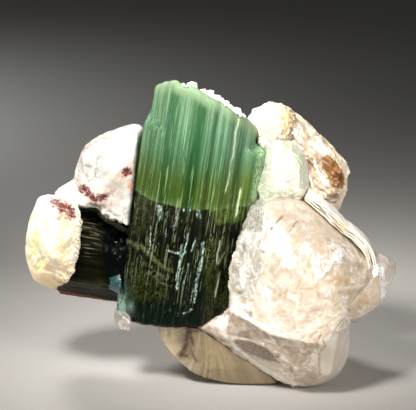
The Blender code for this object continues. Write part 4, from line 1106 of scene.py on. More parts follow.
quartzLeft = dict(
    node="quartz_left", slot="white_quartz", around=0.6, wobble=1.2, centre=(-11.3, 3.0, 21.8), rows=134,
    columns=300, sharpness=60,
    block=(
        (-7.6, 1, 29.4), (-8.3, 2, 29.6), (-9.2, 2.5, 29.5), (-10.3, 2, 29.2), (-13.1, 2, 28.1),
        (-14, 2, 27.4), (-14.7, 2, 26.5), (-15, 1.5, 25.4), (-15.5, 1.5, 24), (-15.8, 1.5, 22.6),
        (-15.9, 1.5, 20.6), (-15, -2, 21.1), (-13, -3, 21.1), (-11.3, -2.5, 19.2), (-9.5, -2, 18.5),
        (-8.7, -2.4, 25.5), (-9.1, -2.6, 21.5), (-8.2, -1.4, 28.6), (-10.8, -3.8, 25.4),
        (-12.9, -2.5, 27.7), (-14.5, -2.5, 26.9), (-8.7, -1, 29.4), (-6.9, 8, 24.7), (-10.3, 9, 24.2),
        (-13.2, 9, 23.2), (-14.5, 9, 19), (-15, 7, 18.6), (-6.9, 8, 15.9), (-5.8, 9, 19.6),
    ),
    ledge=(
        (-17.9, 2, 21.3), (-17.3, 1.7, 22.1), (-16.2, 1.6, 22.6), (-17.2, -1, 21.5), (-15, -2.2, 20.9),
        (-13, -3, 20.9), (-11, -2.8, 19.4), (-9.5, -2.2, 18.6), (-15.5, -1.5, 22.2), (-8, 2, 22),
        (-9, 5, 24), (-16, 6, 19), (-17, 4, 19.7), (-8, 6, 18), (-12, 5, 24),
    ),
    marks=dict(
        grey=(
            line((94, 210), (105, 214), (117, 225), (127, 231), width=2.6, level=0.45),
            line((102, 144), (98, 158), (96, 176), width=2.4, level=0.7),
            line((102, 144), (107, 160), (110, 170), width=1.8, level=0.45),
            area((102, 146), (107, 160), (112, 174), (96, 176), (97, 158), soft=3, level=0.5),
            line((87, 167), (89, 182), width=1.2, level=0.6),
            line((82, 157), (84, 172), (88, 178), width=1.2, level=0.6),
            line((86, 166), (92, 168), width=1.6, level=0.8),
            area((84, 160), (97, 160), (96, 182), (86, 180), soft=4, level=0.28),
            oval(106, 166, 12, 14, level=0.25),
            line((84, 151), (98, 141), (128, 127), width=1.5, level=0.7), oval(112, 186, 11, 7, level=0.5),
            oval(104, 174, 8, 9, level=0.45),
            line((112, 132), (122, 140), (132, 150), width=1.0, level=0.3),
        ),
        tan=(
            line((80, 152), (98, 138), (113, 129), (127, 124), width=2.2, level=0.8),
            line((86, 147), (98, 142), (110, 137), width=1.2, level=0.8),
            line((90, 156), (104, 146), (132, 136), width=1.2, level=0.6), oval(118, 178, 8, 6, level=0.3),
            oval(120, 186, 6, 8, level=0.3),
        ),
        rust=(
            line((83, 188), (89, 193), (95, 199), (106, 197), width=7, level=0.95), oval(87, 190, 5, 5),
            oval(94, 199, 5, 4), oval(128, 172, 8, 7), oval(124, 174, 4, 2.5, level=0.7),
            oval(132, 181, 2, 4, level=0.8), oval(131, 188, 2, 3, level=0.7),
        ),
        halo=(
            line((82, 187), (89, 193), (95, 199), (108, 197), width=10, level=0.4),
            oval(92, 195, 9, 5, level=0.5), oval(107, 197, 5, 4, level=0.6), oval(126, 174, 7, 5),
            oval(131, 187, 3.5, 5), oval(132, 164, 4, 3, level=0.5),
        ),
    ),
    bevels=((((84, 150), (98, 139), (122, 130)), 1.0), (((86, 158), (100, 147), (126, 135)), 1.2)),
    torn=((92, 208), (104, 213), (117, 224), (128, 232)),
    dent=(95, 212, 9, 5),
)


def leftRelief(points):
    # low shards, two stepped bevels along the upper left edge, a dent and a torn lower edge
    spec = quartzLeft
    sheet = onSheet(points)
    bevels = sum(stroke(sheet, path, width) for path, width in spec["bevels"])
    torn = stroke(sheet, spec["torn"], 5.0) * shards(points, 0.8, 97)[2]
    relief = 0.2 * shards(points, 2.0, 91)[0] + 0.1 * shards(points, 0.8, 93)[0]
    relief = relief + 0.04 * roughNoise(points, 0.7, 3, 95)
    return relief - 0.12 * bevels - dab(sheet, *spec["dent"]) - 0.65 * torn - 0.02


def rusted(tree, colour, vector):
    # dark red grains in an orange stain
    inputs = {"Place": vector, "Rust": painted(tree, "rust"), "Halo": painted(tree, "halo")}
    found = addNode(tree, "ShaderNodeGroup", inputs, node_tree=rust).outputs
    red = blendColours(tree, found["Light"], tone(58, 10, 10), tone(128, 50, 44))
    return layered(tree, colour, ((found["Stain"], tone(216, 132, 96)), (found["Grains"], red)))


def whiteQuartzMaterial():
    # milky white with a few grey windows and rust specks
    material, tree, shader = mineral(
        "whiteQuartz", Roughness=0.25, IOR=1.544, Transmission_Weight=0.15, Coat_Weight=0.2,
        Coat_Roughness=0.08, Subsurface_Weight=0.6, Subsurface_Scale=0.0012,
        Subsurface_Radius=(1.0, 0.95, 0.9)
    )
    vector = stretched(tree)
    cloud = noiseOn(tree, vector, 0.35, 3.0, 0.55, 0.3)
    veil = noiseOn(tree, vector, 1.4, 6.0, 0.68, 1.2)
    broken = between(tree, noiseOn(tree, vector, 3.4, 4.0, 0.65), 0.38, 0.55, 0.5, 1.0)
    colour = stops(tree, cloud, [(0.35, tone(219, 218, 215)), (0.65, tone(208, 202, 192))])
    colour = layered(tree, colour, (
        (between(tree, veil, 0.46, 0.34, 0.0, 0.6), tone(212, 206, 192)),
        (times(tree, painted(tree, "grey"), broken), tone(104, 108, 98)),
        (painted(tree, "tan"), tone(176, 146, 124)),
    ))
    colour = rusted(tree, colour, vector)
    relief = crumbled(tree, vector, 1.8, 0.1)["Height"]
    rough = between(tree, veil, 0.3, 0.7, 0.14, 0.4)
    feed(tree, shader, Base_Color=colour, Roughness=rough, Normal=bumpOn(tree, relief, 0.1, 0.8))
    return material


chips = dict(
    chipLow=dict(
        node="quartz_chip_low", slot="white_quartz", rows=44, columns=84, sharpness=60, crowd=0.0, teal=0.0,
        corners=(
            (-11, -2.2, 8.7), (-10.4, -4.2, 8.8), (-9.1, -5.1, 7.9), (-11, -2, 7.2), (-10.4, -4, 6.7),
            (-9.2, -4.8, 6.7), (-9.3, -2.2, 6.5), (-9.1, -3, 8.3),
        ),
    ),
    chipSide=dict(
        node="quartz_chip_side", slot="white_quartz", rows=44, columns=84, sharpness=60, crowd=0.0,
        teal=1.0,
        corners=(
            (-11.6, -1.8, 12.2), (-10.3, -2.9, 13), (-10.1, -3.8, 11.7), (-10.2, -2.6, 10.4),
            (-11.6, -1.4, 10.8), (-11.8, 0, 11.2), (-10.2, 1, 12.2),
        ),
    ),
)


def chipRelief(points):
    # low shards
    return 0.08 * shards(points, 0.6, 99)[0]


def dressChips():
    # two clear crystals, of which the one at the side is teal from the tourmaline behind it
    material, tree, shader = mineral("clearChip", Roughness=0.12, IOR=1.544, Transmission_Weight=0.7)
    vector = stretched(tree)
    cloud = noiseOn(tree, vector, 1.6, 3.0, 0.6)
    colour = stops(tree, cloud, [(0.35, tone(176, 170, 160)), (0.6, tone(240, 232, 224))])
    colour = blendColours(tree, painted(tree, "teal"), colour, tone(36, 106, 110))
    relief = crumbled(tree, vector, 2.4, 0.1)["Height"]
    feed(tree, shader, Base_Color=colour, Normal=bumpOn(tree, relief, 0.06, 0.7))
    for name, spec in chips.items():
        piece = makeLump(name, spec, chipRelief)
        addMask(piece, "teal", spec["teal"] * ease(smoothNoise(meshPoints(piece), 0.7, 98), -1.2, -0.2))
        place(piece, spec["node"], material)


feldsparKnob = dict(
    node="feldspar_knob", slot="feldspar", around=0.5, wobble=1.0, rows=128, columns=280, sharpness=24,
    corners=(
        (-17.9, 1, 21.7), (-19, 1, 21.7), (-19.8, 1, 21.2), (-20.4, 1, 20.2), (-20.8, 1, 18.8),
        (-21.3, 1, 17.4), (-21.5, 1.5, 15.8), (-21.5, 1.5, 14.2), (-21.2, 2, 12.6), (-20.7, 2, 11.3),
        (-20.2, 2.2, 10.4), (-19.3, 2.5, 9.8), (-18.6, 2.5, 9.4), (-17.9, 2.3, 9.4), (-17.5, 1, 10.2),
        (-16.8, -1.5, 11.5), (-16, -2.5, 12.5), (-15.4, -3, 13.5), (-15.1, -3.4, 15.2), (-14.7, -3.5, 16.6),
        (-14.6, -3.5, 18.4), (-14.7, -3, 20.3), (-15.1, -2.5, 21.5), (-16.6, -1, 22), (-18.4, -4.8, 21.2),
        (-17.2, -5.6, 18.8), (-18.6, -4.8, 15.8), (-17.2, -4.8, 15), (-20.2, -2.5, 17.5), (-19.1, -2, 12.6),
        (-18.4, 6, 17.2), (-20, 7, 13.6), (-19.8, 7, 9.4), (-17, 7.5, 8.1), (-15.2, 8, 11.3),
        (-15.5, 8, 15.7),
    ),
    marks=dict(
        tan=(oval(60, 286, 14, 8, level=0.25),),
        sugar=(
            line((76, 222), (79, 240), (78, 256), (74, 270), (66, 282), width=9),
            oval(50, 262, 16, 16, level=0.5),
        ),
        peach=(
            oval(62, 250, 7, 18, level=0.8), oval(64, 226, 8, 8, level=0.6), oval(42, 282, 24, 14),
            oval(58, 286, 16, 10), oval(50, 272, 12, 8, level=0.7), oval(66, 264, 6, 8, level=0.8),
            oval(35, 218, 4, 6, level=0.4), oval(48, 258, 6, 6, level=0.4),
        ),
        window=(
            area((35, 232), (41, 235), (38, 256), (31, 258), (31, 244), soft=2.8),
            area((47, 257), (45, 266), (38, 272), (33, 269), (38, 261), soft=2.4),
            oval(27, 246, 3, 9, level=0.7),
        ),
        rust=(
            line((56, 202), (64, 205), (70, 209), (72, 215), width=9, level=0.95), oval(64, 210, 6, 5),
            oval(60, 220, 4, 4, level=0.7), oval(66, 218, 4, 4, level=0.8),
        ),
        halo=(oval(63, 217, 9, 8), oval(62, 205, 10, 6, level=0.6)),
    ),
    rim=((78, 225, 6, 20), (78, 250, 6, 18), (72, 270, 7, 12), (66, 280, 8, 8)),
)


def knobRelief(points):
    # lumps, sugary grains along the right rim, and sunken windows
    spec = feldsparKnob
    sheet = onSheet(points)
    _, edge, pick = shards(points, 0.6, 101)
    lumps = 0.22 * smoothNoise(points, 2.4, 11) + 0.14 * smoothNoise(points, 1.1, 12)
    lumps = lumps + 0.06 * roughNoise(points, 0.5, 3, 103)
    grains = dabs(sheet, spec["rim"]) * (0.3 * pick - 0.14 + 0.22 * ease(edge, 0, 0.25))
    windows = [patch(sheet, mark["area"], 1.5) for mark in spec["marks"]["window"] if "area" in mark]
    sunken = 0.14 * np.max(windows, axis=0) * ease(-points[..., 1], -1.5, 0)
    return lumps + grains + 0.12 * shards(points, 1.3, 106)[0] - sunken - 0.05


def feldsparMaterial():
    # cream, warmer towards its peach patches, with greenish glassy windows and rust specks
    material, tree, shader = mineral(
        "feldspar", Roughness=0.5, Specular_IOR_Level=0.45, Subsurface_Weight=0.4, Subsurface_Scale=0.0008,
        Subsurface_Radius=(1.0, 0.85, 0.6)
    )
    vector = stretched(tree)
    cloud = noiseOn(tree, vector, 0.5, 5.0, 0.65, 0.6)
    sugar = noiseOn(tree, vector, 3.4, 3.0, 0.6)
    crumbs = crumbled(tree, vector, 1.7, 0.35)
    grainy = between(tree, painted(tree, "sugar"), 0.0, 1.0, 0.25, 1.0)
    dusk = times(tree, painted(tree, "tan"), between(tree, sugar, 0.6, 0.44, 0.6, 1.0))
    peach = times(tree, painted(tree, "peach"), between(tree, crumbs["Mottle"], 0.1, 0.75, 1.0, 0.35))
    window = painted(tree, "window")
    colour = stops(tree, cloud, [
        (0.3, tone(244, 240, 226)), (0.55, tone(240, 230, 206)), (0.75, tone(230, 210, 176)),
    ])
    colour = layered(tree, colour, (
        (times(tree, grainy, between(tree, sugar, 0.48, 0.4)), tone(196, 162, 120)),
        (dusk, mottled(tree, sugar, 0.44, 0.56, tone(118, 98, 74), tone(172, 152, 126))),
        (peach, tone(248, 214, 152)),
        (window, mottled(tree, cloud, 0.4, 0.6, tone(222, 220, 156), tone(244, 242, 200))),
    ))
    colour = rusted(tree, colour, vector)
    rough = calc(tree, "MULTIPLY_ADD", window, -0.3, 0.5)
    feed(tree, shader, Base_Color=colour, Roughness=rough, Normal=bumpOn(tree, crumbs["Height"], 0.16, 0.9))
    return material


feldsparUpper = dict(
    node="feldspar_upper", slot="feldspar", around=0.5, wobble=1.0, rows=96, columns=210, sharpness=26,
    corners=(
        (5.2, -2.4, 28.4), (5.2, -2.4, 29.8), (4.4, 0.5, 30.7), (4.9, 1, 31.5), (6, 1.5, 32.0),
        (6.7, 1.5, 32.4), (8.2, 1.5, 32.4), (8.9, 1.5, 31.9), (9.6, 1, 31), (9.4, -1.8, 29.2),
        (8.6, -2.3, 27.6), (6.3, -2.2, 27.2), (5.2, -1.8, 28), (4.8, -1.6, 30), (6, -3, 31.5),
        (7.6, -3, 31.2), (7.1, -3.2, 29.0), (5.1, 6, 28.2), (6.7, 7, 29), (9.5, 6, 29.1), (9.2, 5, 26.5),
        (5.3, 5, 26.1),
    ),
    marks=dict(
        peach=(
            oval(277, 113, 3, 3, level=0.6), oval(266, 132, 12, 8, level=0.7),
            oval(284, 120, 5, 14, level=0.9), oval(272, 107, 12, 3, level=0.6),
            oval(260, 122, 6, 10, level=0.3), oval(272, 139, 10, 2.5, level=0.6),
            line((262, 105), (272, 103), (286, 106), width=1.5, level=0.6),
        ),
        sugar=(oval(280, 120, 10, 22, level=0.9), oval(266, 108, 18, 6, level=0.6)),
        window=(), rust=(), halo=(),
        tan=(
            area((284, 98), (300, 102), (300, 140), (280, 143), (277, 132), (282, 116), soft=2),
            line((266, 103), (280, 101), (290, 107), width=2.0, level=0.6), oval(276, 138, 9, 3, level=0.5),
        ),
    ),
)


def upperRelief(points):
    # lumps and small sunken and raised grains
    _, edge, pick = shards(points, 0.55, 22)
    relief = 0.24 * smoothNoise(points, 1.6, 21) + 0.2 * (pick - 0.5) + 0.12 * ease(edge, 0, 0.25)
    return relief + 0.08 * roughNoise(points, 0.5, 3, 24) - 0.08


feldsparPale = dict(
    node="feldspar_pale", slot="pale_feldspar", around=0.5, wobble=1.0, rows=108, columns=216, sharpness=46,
    corners=(
        (6.2, -2, 28.7), (7.2, -2.4, 29.1), (8.4, -2, 28.9), (9.9, -2, 28.5), (10.7, -1.8, 27.4),
        (11.3, -1.8, 25.9), (11.3, -3, 22.6), (10.3, -4.3, 21.8), (6, -4.3, 21.8), (5.4, -3, 23.2),
        (5.8, -2.5, 25.1), (6.5, -2.5, 26.7), (7.1, -3.4, 28), (9.3, -3.6, 28), (10.2, -4.4, 26.4),
        (6.9, -4.4, 25.8), (10.3, -5, 23.4), (6.6, -5, 23.4), (6, 4, 24.6), (10.3, 4, 24.6),
        (11.2, 3, 20.1), (5.5, 3, 19.5),
    ),
    marks=dict(
        green=(
            line((268, 150), (264, 165), (262, 182), (264, 194), width=6.0, level=0.3),
            oval(272, 190, 9, 4, level=0.5), oval(287, 150, 5, 5, level=0.4),
            oval(298, 160, 4, 9, level=0.4),
        ),
        frost=(oval(276, 144, 6, 3), oval(290, 176, 8, 10, level=0.6), oval(278, 168, 4, 14, level=0.5)),
    ),
)


def paleRelief(points):
    # upright lumps and low shards
    relief = 0.14 * smoothNoise(points * (1, 1, 0.5), 1.3, 110) + 0.18 * shards(points, 1.3, 111)[0]
    return relief + 0.1 * shards(points, 0.6, 113)[0] + 0.04 * roughNoise(points, 0.7, 3, 115) - 0.02


def paleMaterial():
    # pale greenish cream with a pearly bloom and soft upright streaks
    material, tree, shader = mineral(
        "paleFeldspar", Roughness=0.35, Coat_Weight=0.2, Coat_Roughness=0.1, Subsurface_Weight=0.5,
        Subsurface_Scale=0.001, Subsurface_Radius=(1.0, 1.0, 0.85)
    )
    vector = stretched(tree)
    cloud = noiseOn(tree, stretched(tree, stretch=(1, 1, 0.4)), 0.9, 5.0, 0.65, 0.6)
    grains = noiseOn(tree, vector, 4.0, 4.0, 0.65, 0.3)
    frost = speckled(tree, vector, 2.2, painted(tree, "frost"), 0.2)
    frost = calc(tree, "MAXIMUM", frost, between(tree, grains, 0.54, 0.64, 0.0, 0.7))
    colour = stops(tree, cloud, [
        (0.36, tone(158, 158, 138)), (0.5, tone(174, 174, 156)), (0.62, tone(194, 194, 180)),
    ])
    colour = layered(tree, colour, (
        (painted(tree, "green"), tone(136, 162, 116)),
        (between(tree, grains, 0.47, 0.38, 0.0, 0.35), tone(160, 164, 142)),
        (frost, tone(246, 248, 236)),
    ))
    relief = crumbled(tree, vector, 1.9, 0.15)["Height"]
    feed(tree, shader, Base_Color=colour, Normal=bumpOn(tree, relief, 0.12, 0.8))
    return material


micaStacks = dict(
    micaBack=dict(
        cleavage=(-0.25, 0.9, 0.35), sheets=56, columns=300, seed=122, ledge=0.1,
        corners=(
            (-9, 9, 24.5), (0, 10, 26), (8, 11, 25.5), (13, 11, 22), (-13.5, 7, 19.5), (-14, 8, 13),
            (-11, 8, 9), (-6, 7, 6), (-4, 9, 3), (16, 8, 16), (18, 7, 10), (16.5, 7, 7), (14, 10, 5),
            (-10, 12, 18), (-4, 14, 14), (4, 15, 20), (4, 15.5, 10), (11, 13.5, 16), (12, 13, 9),
            (-2, 12.5, 6), (-8, 3, 16), (8, 3, 16), (0, 3, 8),
        ),
    ),
    micaFoot=dict(
        cleavage=(0.0, 0.0, 1.0), sheets=34, columns=260, seed=123, ledge=0.06,
        corners=(
            (-3.6, 8.5, 0), (-2.4, 5.2, 0), (1, 3.6, 0), (6, 3.4, 0), (15, 3.8, 0), (15.6, 7, 0),
            (13, 11.5, 0), (4, 13, 0), (-1, 12.3, 0), (-5, 9, 7), (-4, 5, 7.5), (8, 1.5, 7.5), (16.5, 2, 7),
            (16, 8, 8), (13, 12.5, 8), (3, 14.2, 9),
        ),
    ),
)


def sheetStack(spec):
    # two rings for each sheet of a stack that fills a convex mass: a sheet ends at its own ragged reach,
    # which is the nearest plane of the mass less a wave for its packet, one for itself and a torn edge
    corners = np.array(spec["corners"], float)
    planes = hullPlanes(corners)
    axes = crystalAxes(spec["cleavage"], (1, 0, 0.01))
    heights = corners @ axes[2]
    bottom = corners[heights < heights.min() + 0.01].mean(0)
    top = corners[heights > heights.max() - 0.01].mean(0)
    count, sheets, seed = spec["columns"], spec["sheets"], spec["seed"]
    turn = np.arange(count) * math.tau / count
    ways = np.outer(np.cos(turn), axes[0]) + np.outer(np.sin(turn), axes[1])
    facing = ways @ planes[:, :3].T
    number = np.arange(sheets)
    middle = bottom + (top - bottom) * np.clip((number[:, None] + 0.5) / sheets, 0.04, 0.96)
    room = planes[:, 3] - middle @ planes[:, :3].T
    reach = np.where(facing[None] > 1e-6, room[:, None] / np.maximum(facing[None], 1e-6), np.inf).min(2)
    ring = np.stack([np.cos(turn), np.sin(turn)], -1)
    around = np.broadcast_to(ring[None] * 3.0, (sheets, count, 2))
    level = np.broadcast_to(number[:, None, None], (sheets, count, 1)).astype(float)

    def ragged(wide, high):
        # a place that goes round with the ring and up with the sheets
        return np.concatenate([around * wide, level * high], -1)

    book = smoothNoise(ragged(1, 0.18), 1.0, seed)
    single = smoothNoise(ragged(1.7, 7.3), 1.0, seed + 1)
    torn = roughNoise(ragged(7, 3.1), 1.0, 2, seed + 2)
    reach = reach * (1 - spec["ledge"] + spec["ledge"] * book) - 0.22 - 0.2 * single - 0.05 * torn
    reach = np.maximum(0.4, reach)
    rings = []
    for k in range(sheets):
        for end in (k + 0.04, k + 0.96):
            share = 0.0 if k == 0 and end < 0.5 else end / sheets
            rings.append(bottom + (top - bottom) * share + ways * reach[k][:, None])
    rings = np.array(rings)
    wave = (0.12 * smoothNoise(rings, 3.0, seed + 4))[..., None] * (rings[..., 2:] > 0.5)
    rings = rings + axes[2] * wave
    rings[..., 2] = np.maximum(rings[..., 2], 0)
    return rings, bottom, bottom + (top - bottom) * (sheets - 0.04) / sheets


micaUpper = dict(
    node="mica_matrix", slot="mica", around=0.6, wobble=0.8, cleavage=(0.62, -0.45, 0.62), rows=156,
    columns=340, sharpness=30,
    corners=(
        (8.0, 2.5, 31.9), (8.9, 2.5, 31.6), (9.6, 3, 30.9), (10.5, 3, 30.3), (11.3, 2.5, 29.7),
        (12, 2.5, 28.7), (12.8, 2.5, 27.7), (13.6, 2.5, 26.6), (14.7, 2.5, 25.9), (15.5, 2.5, 25.3),
        (16.0, 2.5, 24.5), (16.1, 3, 23), (15.9, 3, 21.3), (15.3, 3, 20.1), (14.8, 3, 18.9),
        (12.7, -2.2, 21.2), (10.6, -2.6, 22.6), (8.8, -1.6, 27.3), (9.4, -0.6, 30.4), (12.4, -2, 27.3),
        (14.8, -1.8, 25.9), (15.1, -1.5, 22.4), (6.9, 5, 27.9), (6, 6, 23.5), (6, 6, 17.5), (9.2, 10, 27.3),
        (12.7, 11, 22.6), (15.2, 10, 19.6), (14.4, 9, 15.4), (6.9, 11, 13.7), (6, 10, 24.1),
    ),
    marks=dict(
        # painted sheen: silvery glints along the torn edges of the sheets
        silver=(
            line((284, 128), (292, 134), (300, 142), width=1.6), line((287, 124), (297, 133), width=1.2),
            line((296, 150), (301, 158), (304, 168), width=1.8), line((292, 142), (301, 149), width=1.5),
            line((313, 162), (318, 172), (323, 184), width=1.5), line((321, 176), (328, 186), width=1.3),
            line((304, 190), (318, 197), (336, 210), width=1.8), line((310, 143), (320, 152), width=2.0),
            line((316, 138), (328, 152), width=2.0), oval(300, 128, 7, 8, level=0.6),
            oval(306, 158, 5, 5, level=0.6), oval(290, 112, 5, 5, level=0.4),
            line((309, 176), (312, 186), width=1.5),
        ),
        brown=(
            area((282, 128), (290, 130), (296, 140), (288, 143), soft=1.2), oval(301, 147, 4, 7),
            area((305, 156), (313, 158), (312, 173), (306, 172), soft=1.2),
            area((304, 180), (313, 181), (312, 188), (304, 188), soft=1.0), oval(318, 196, 9, 5),
            oval(286, 117, 5, 7, level=0.6), oval(297, 122, 4, 4, level=0.6),
            oval(317, 158, 4, 5, level=0.8), oval(308, 187, 3, 3), oval(333, 195, 8, 5, level=0.8),
            oval(334, 206, 5, 6, level=0.7),
        ),
        amber=(
            area(
                (320, 159), (327, 155), (335, 161), (341, 170), (344, 183), (341, 189), (332, 188),
                (326, 177), soft=1.0
            ),
            oval(342, 184, 4, 2.5, level=0.7),
        ),
        pale=(
            line(
                (312, 142), (328, 152), (339, 157), (345, 167), (347, 179), (344, 195), (339, 207),
                width=4.0, level=0.75
            ),
            line((288, 106), (300, 118), (312, 130), (318, 140), width=3.5, level=0.6),
            line((306, 196), (320, 200), (336, 209), width=8.0, level=0.5),
        ),
    ),
)


def micaRelief(points):
    # the edges of sheets, small tilted and stepped flakes, and grit
    sheets = laminae(points, micaUpper["cleavage"], 1.6, 0.3, 125)
    flat, edge, pick = shards(points, 0.8, 127)
    relief = 0.13 * sheets + 0.2 * flat + 0.25 * (pick - 0.5) * ease(edge, 0, 0.2)
    return relief + 0.09 * roughNoise(points, 0.5, 3, 129) - 0.1


def micaMaterial():
    # brown sheets with a painted silvery sheen on their torn edges, clearer and orange where a window opens
    material, tree, shader = mineral("mica", Roughness=0.4, IOR=1.59, Coat_Weight=0.15, Coat_Roughness=0.15)
    vector = stretched(tree)
    sheets = stretched(tree, crystalAxes(micaUpper["cleavage"], (1, 0, 0.01)), stretch=(0.7, 0.7, 3.2))
    cloud = noiseOn(tree, vector, 0.6, 5.0, 0.65, 0.8)
    streak = noiseOn(tree, sheets, 1.5, 6.0, 0.7, 0.4)
    # painted sheen: silvery glints
    silver = speckled(tree, sheets, 1.7, painted(tree, "silver"), 0.1)
    amber = painted(tree, "amber")
    glow = times(tree, amber, between(tree, streak, 0.75, 0.5, 0.85, 1.0))
    dull = between(tree, streak, 0.62, 0.42, 0.35, 1.0)
    colour = stops(tree, cloud, [
        (0.34, tone(150, 128, 102)), (0.5, tone(178, 158, 132)), (0.64, tone(204, 188, 162)),
    ])
    colour = layered(tree, colour, (
        (between(tree, streak, 0.54, 0.66, 0.0, 0.85), tone(248, 236, 214)),
        (between(tree, streak, 0.44, 0.34, 0.0, 0.7), tone(146, 112, 78)),
        (times(tree, painted(tree, "brown"), dull), tone(112, 80, 48)),
        (times(tree, painted(tree, "pale"), between(tree, cloud, 0.35, 0.55, 0.5, 1.0)), tone(246, 232, 208)),
        (glow, mottled(tree, cloud, 0.4, 0.6, tone(100, 60, 18), tone(144, 98, 44))),
        (silver, tone(255, 252, 244)),
    ))
    relief = calc(tree, "MULTIPLY_ADD", streak, 0.8, crumbled(tree, vector, 1.6, 0.3)["Height"])
    relief = calc(tree, "MULTIPLY_ADD", silver, 0.3, relief)
    relief = times(tree, relief, between(tree, amber, 0.0, 0.8, 1.0, 0.2))
    rough = between(tree, cloud, 0.3, 0.7, 0.34, 0.5)
    feed(tree, shader, Base_Color=colour, Roughness=rough, Normal=bumpOn(tree, relief, 0.14, 0.8))
    return material


def dressMicaStacks(material):
    # the sheets behind and the foot, each with broad patches in place of marks
    for name, spec in micaStacks.items():
        piece = closedGrid(name, *sheetStack(spec))
        patches = ease(roughNoise(meshPoints(piece), 2.2, 3, spec["seed"] + 11), -0.2, 0.5)
        # silver is a painted sheen, as on the upper mica
        for label, level in dict(silver=0.35, brown=0.6, amber=0.0, pale=0.3).items():
            addMask(piece, label, level * patches)
        place(piece, "mica_matrix", material)


micaBook = dict(
    roundings=6,
    path=((10.7, 22.5), (12.8, 20.7), (14.5, 19.1), (16.1, 17.8), (17.2, 16.8), (17.7, 15.7), (18.1, 14.2)),
    sheets=9, thickness=1.05, sheetThickness=0.07, front=-5.5, back=-2.8, steps=96, across=20,
    tanSheets=(0, 4),
)


def slabFaces(rows, columns):
    # quads over two facing grids of points, the first turned over, and a wall round their edges
    row, column = np.meshgrid(np.arange(rows - 1), np.arange(columns - 1), indexing="ij")
    a, b = row * columns + column, row * columns + column + 1
    c, d = (row + 1) * columns + column + 1, (row + 1) * columns + column
    under = np.stack([a, b, c, d], -1).reshape(-1, 4)
    over = np.stack([d, c, b, a], -1).reshape(-1, 4) + rows * columns
    edge = np.concatenate([
        np.arange(columns), np.arange(1, rows) * columns + columns - 1,
        (rows - 1) * columns + np.arange(columns - 2, -1, -1), np.arange(rows - 2, 0, -1) * columns,
    ])
    beside = np.roll(edge, -1)
    wall = np.stack([beside, edge, edge + rows * columns, beside + rows * columns], -1)
    return np.vstack([under, over, wall])


def bookPath(spec):
    # the path of the packet in even steps, rounded by averaging neighbours, and the direction out from it
    knots = np.array(spec["path"], float)
    gaps = np.concatenate([[0], np.cumsum(np.linalg.norm(np.diff(knots, axis=0), axis=1))])
    along = np.linspace(0, gaps[-1], spec["steps"])
    path = np.stack([np.interp(along, gaps, knots[:, k]) for k in (0, 1)], -1)
    for _ in range(spec["roundings"]):
        path[1:-1] = (path[:-2] + 2 * path[1:-1] + path[2:]) / 4
    ahead = np.gradient(path, axis=0)
    ahead /= np.linalg.norm(ahead, axis=1)[:, None]
    return path, np.stack([-ahead[:, 1], ahead[:, 0]], -1), along / along[-1]


def makeMicaBook():
    # thin sheets carried along one curved path, each at its own distance out from it, waved a little and
    # ragged at its front edge
    spec = micaBook
    path, out, share = bookPath(spec)
    points, quads, tan = [], [], []
    for k in range(spec["sheets"]):
        level = spec["thickness"] * (k + 0.3) / spec["sheets"]
        wave = 0.06 * noiseOf(131, share * 14, 5 * k)
        frontEdge = spec["front"] + 0.25 * (k % 3) - 0.4 * noiseOf(132, share * 9, 3 * k)
        reach = (spec["back"] - frontEdge)[:, None]
        depth = frontEdge[:, None] + np.linspace(0, 1, spec["across"])[None] * reach
        lift = level + wave[:, None] + 0.04 * noiseOf(133, share[:, None] * 20, depth * 1.2, k)
        for side in (0.0, spec["sheetThickness"]):
            x = path[:, 0:1] + out[:, 0:1] * (lift + side)
            z = path[:, 1:2] + out[:, 1:2] * (lift + side)
            points.append(np.stack([x, depth, z], -1).reshape(-1, 3))
        tan.append(np.full(2 * depth.size, 0.5 if k in spec["tanSheets"] else 0.0))
        quads.append(slabFaces(spec["steps"], spec["across"]) + k * 2 * depth.size)
    piece = meshPiece("micaBook", np.vstack(points), quads)
    addMask(piece, "tan", np.concatenate(tan))
    return piece


def dressMicaBook():
    # silver sheets, two of them half tan
    material, tree, shader = mineral(
        "silverMica", Roughness=0.25, IOR=1.59, Coat_Weight=0.5, Coat_Roughness=0.1
    )
    vector = stretched(tree)
    cloud = noiseOn(tree, vector, 0.8, 3.0, 0.6, 0.5)
    colour = stops(tree, cloud, [
        (0.35, tone(226, 210, 182)), (0.5, tone(252, 247, 234)), (0.7, tone(255, 254, 250)),
    ])
    colour = blendColours(tree, painted(tree, "tan"), colour, tone(186, 150, 98))
    relief = crumbled(tree, vector, 2.5, 0.1)["Height"]
    feed(tree, shader, Base_Color=colour, Normal=bumpOn(tree, relief, 0.05, 0.6))
    place(makeMicaBook(), "mica_book", material)


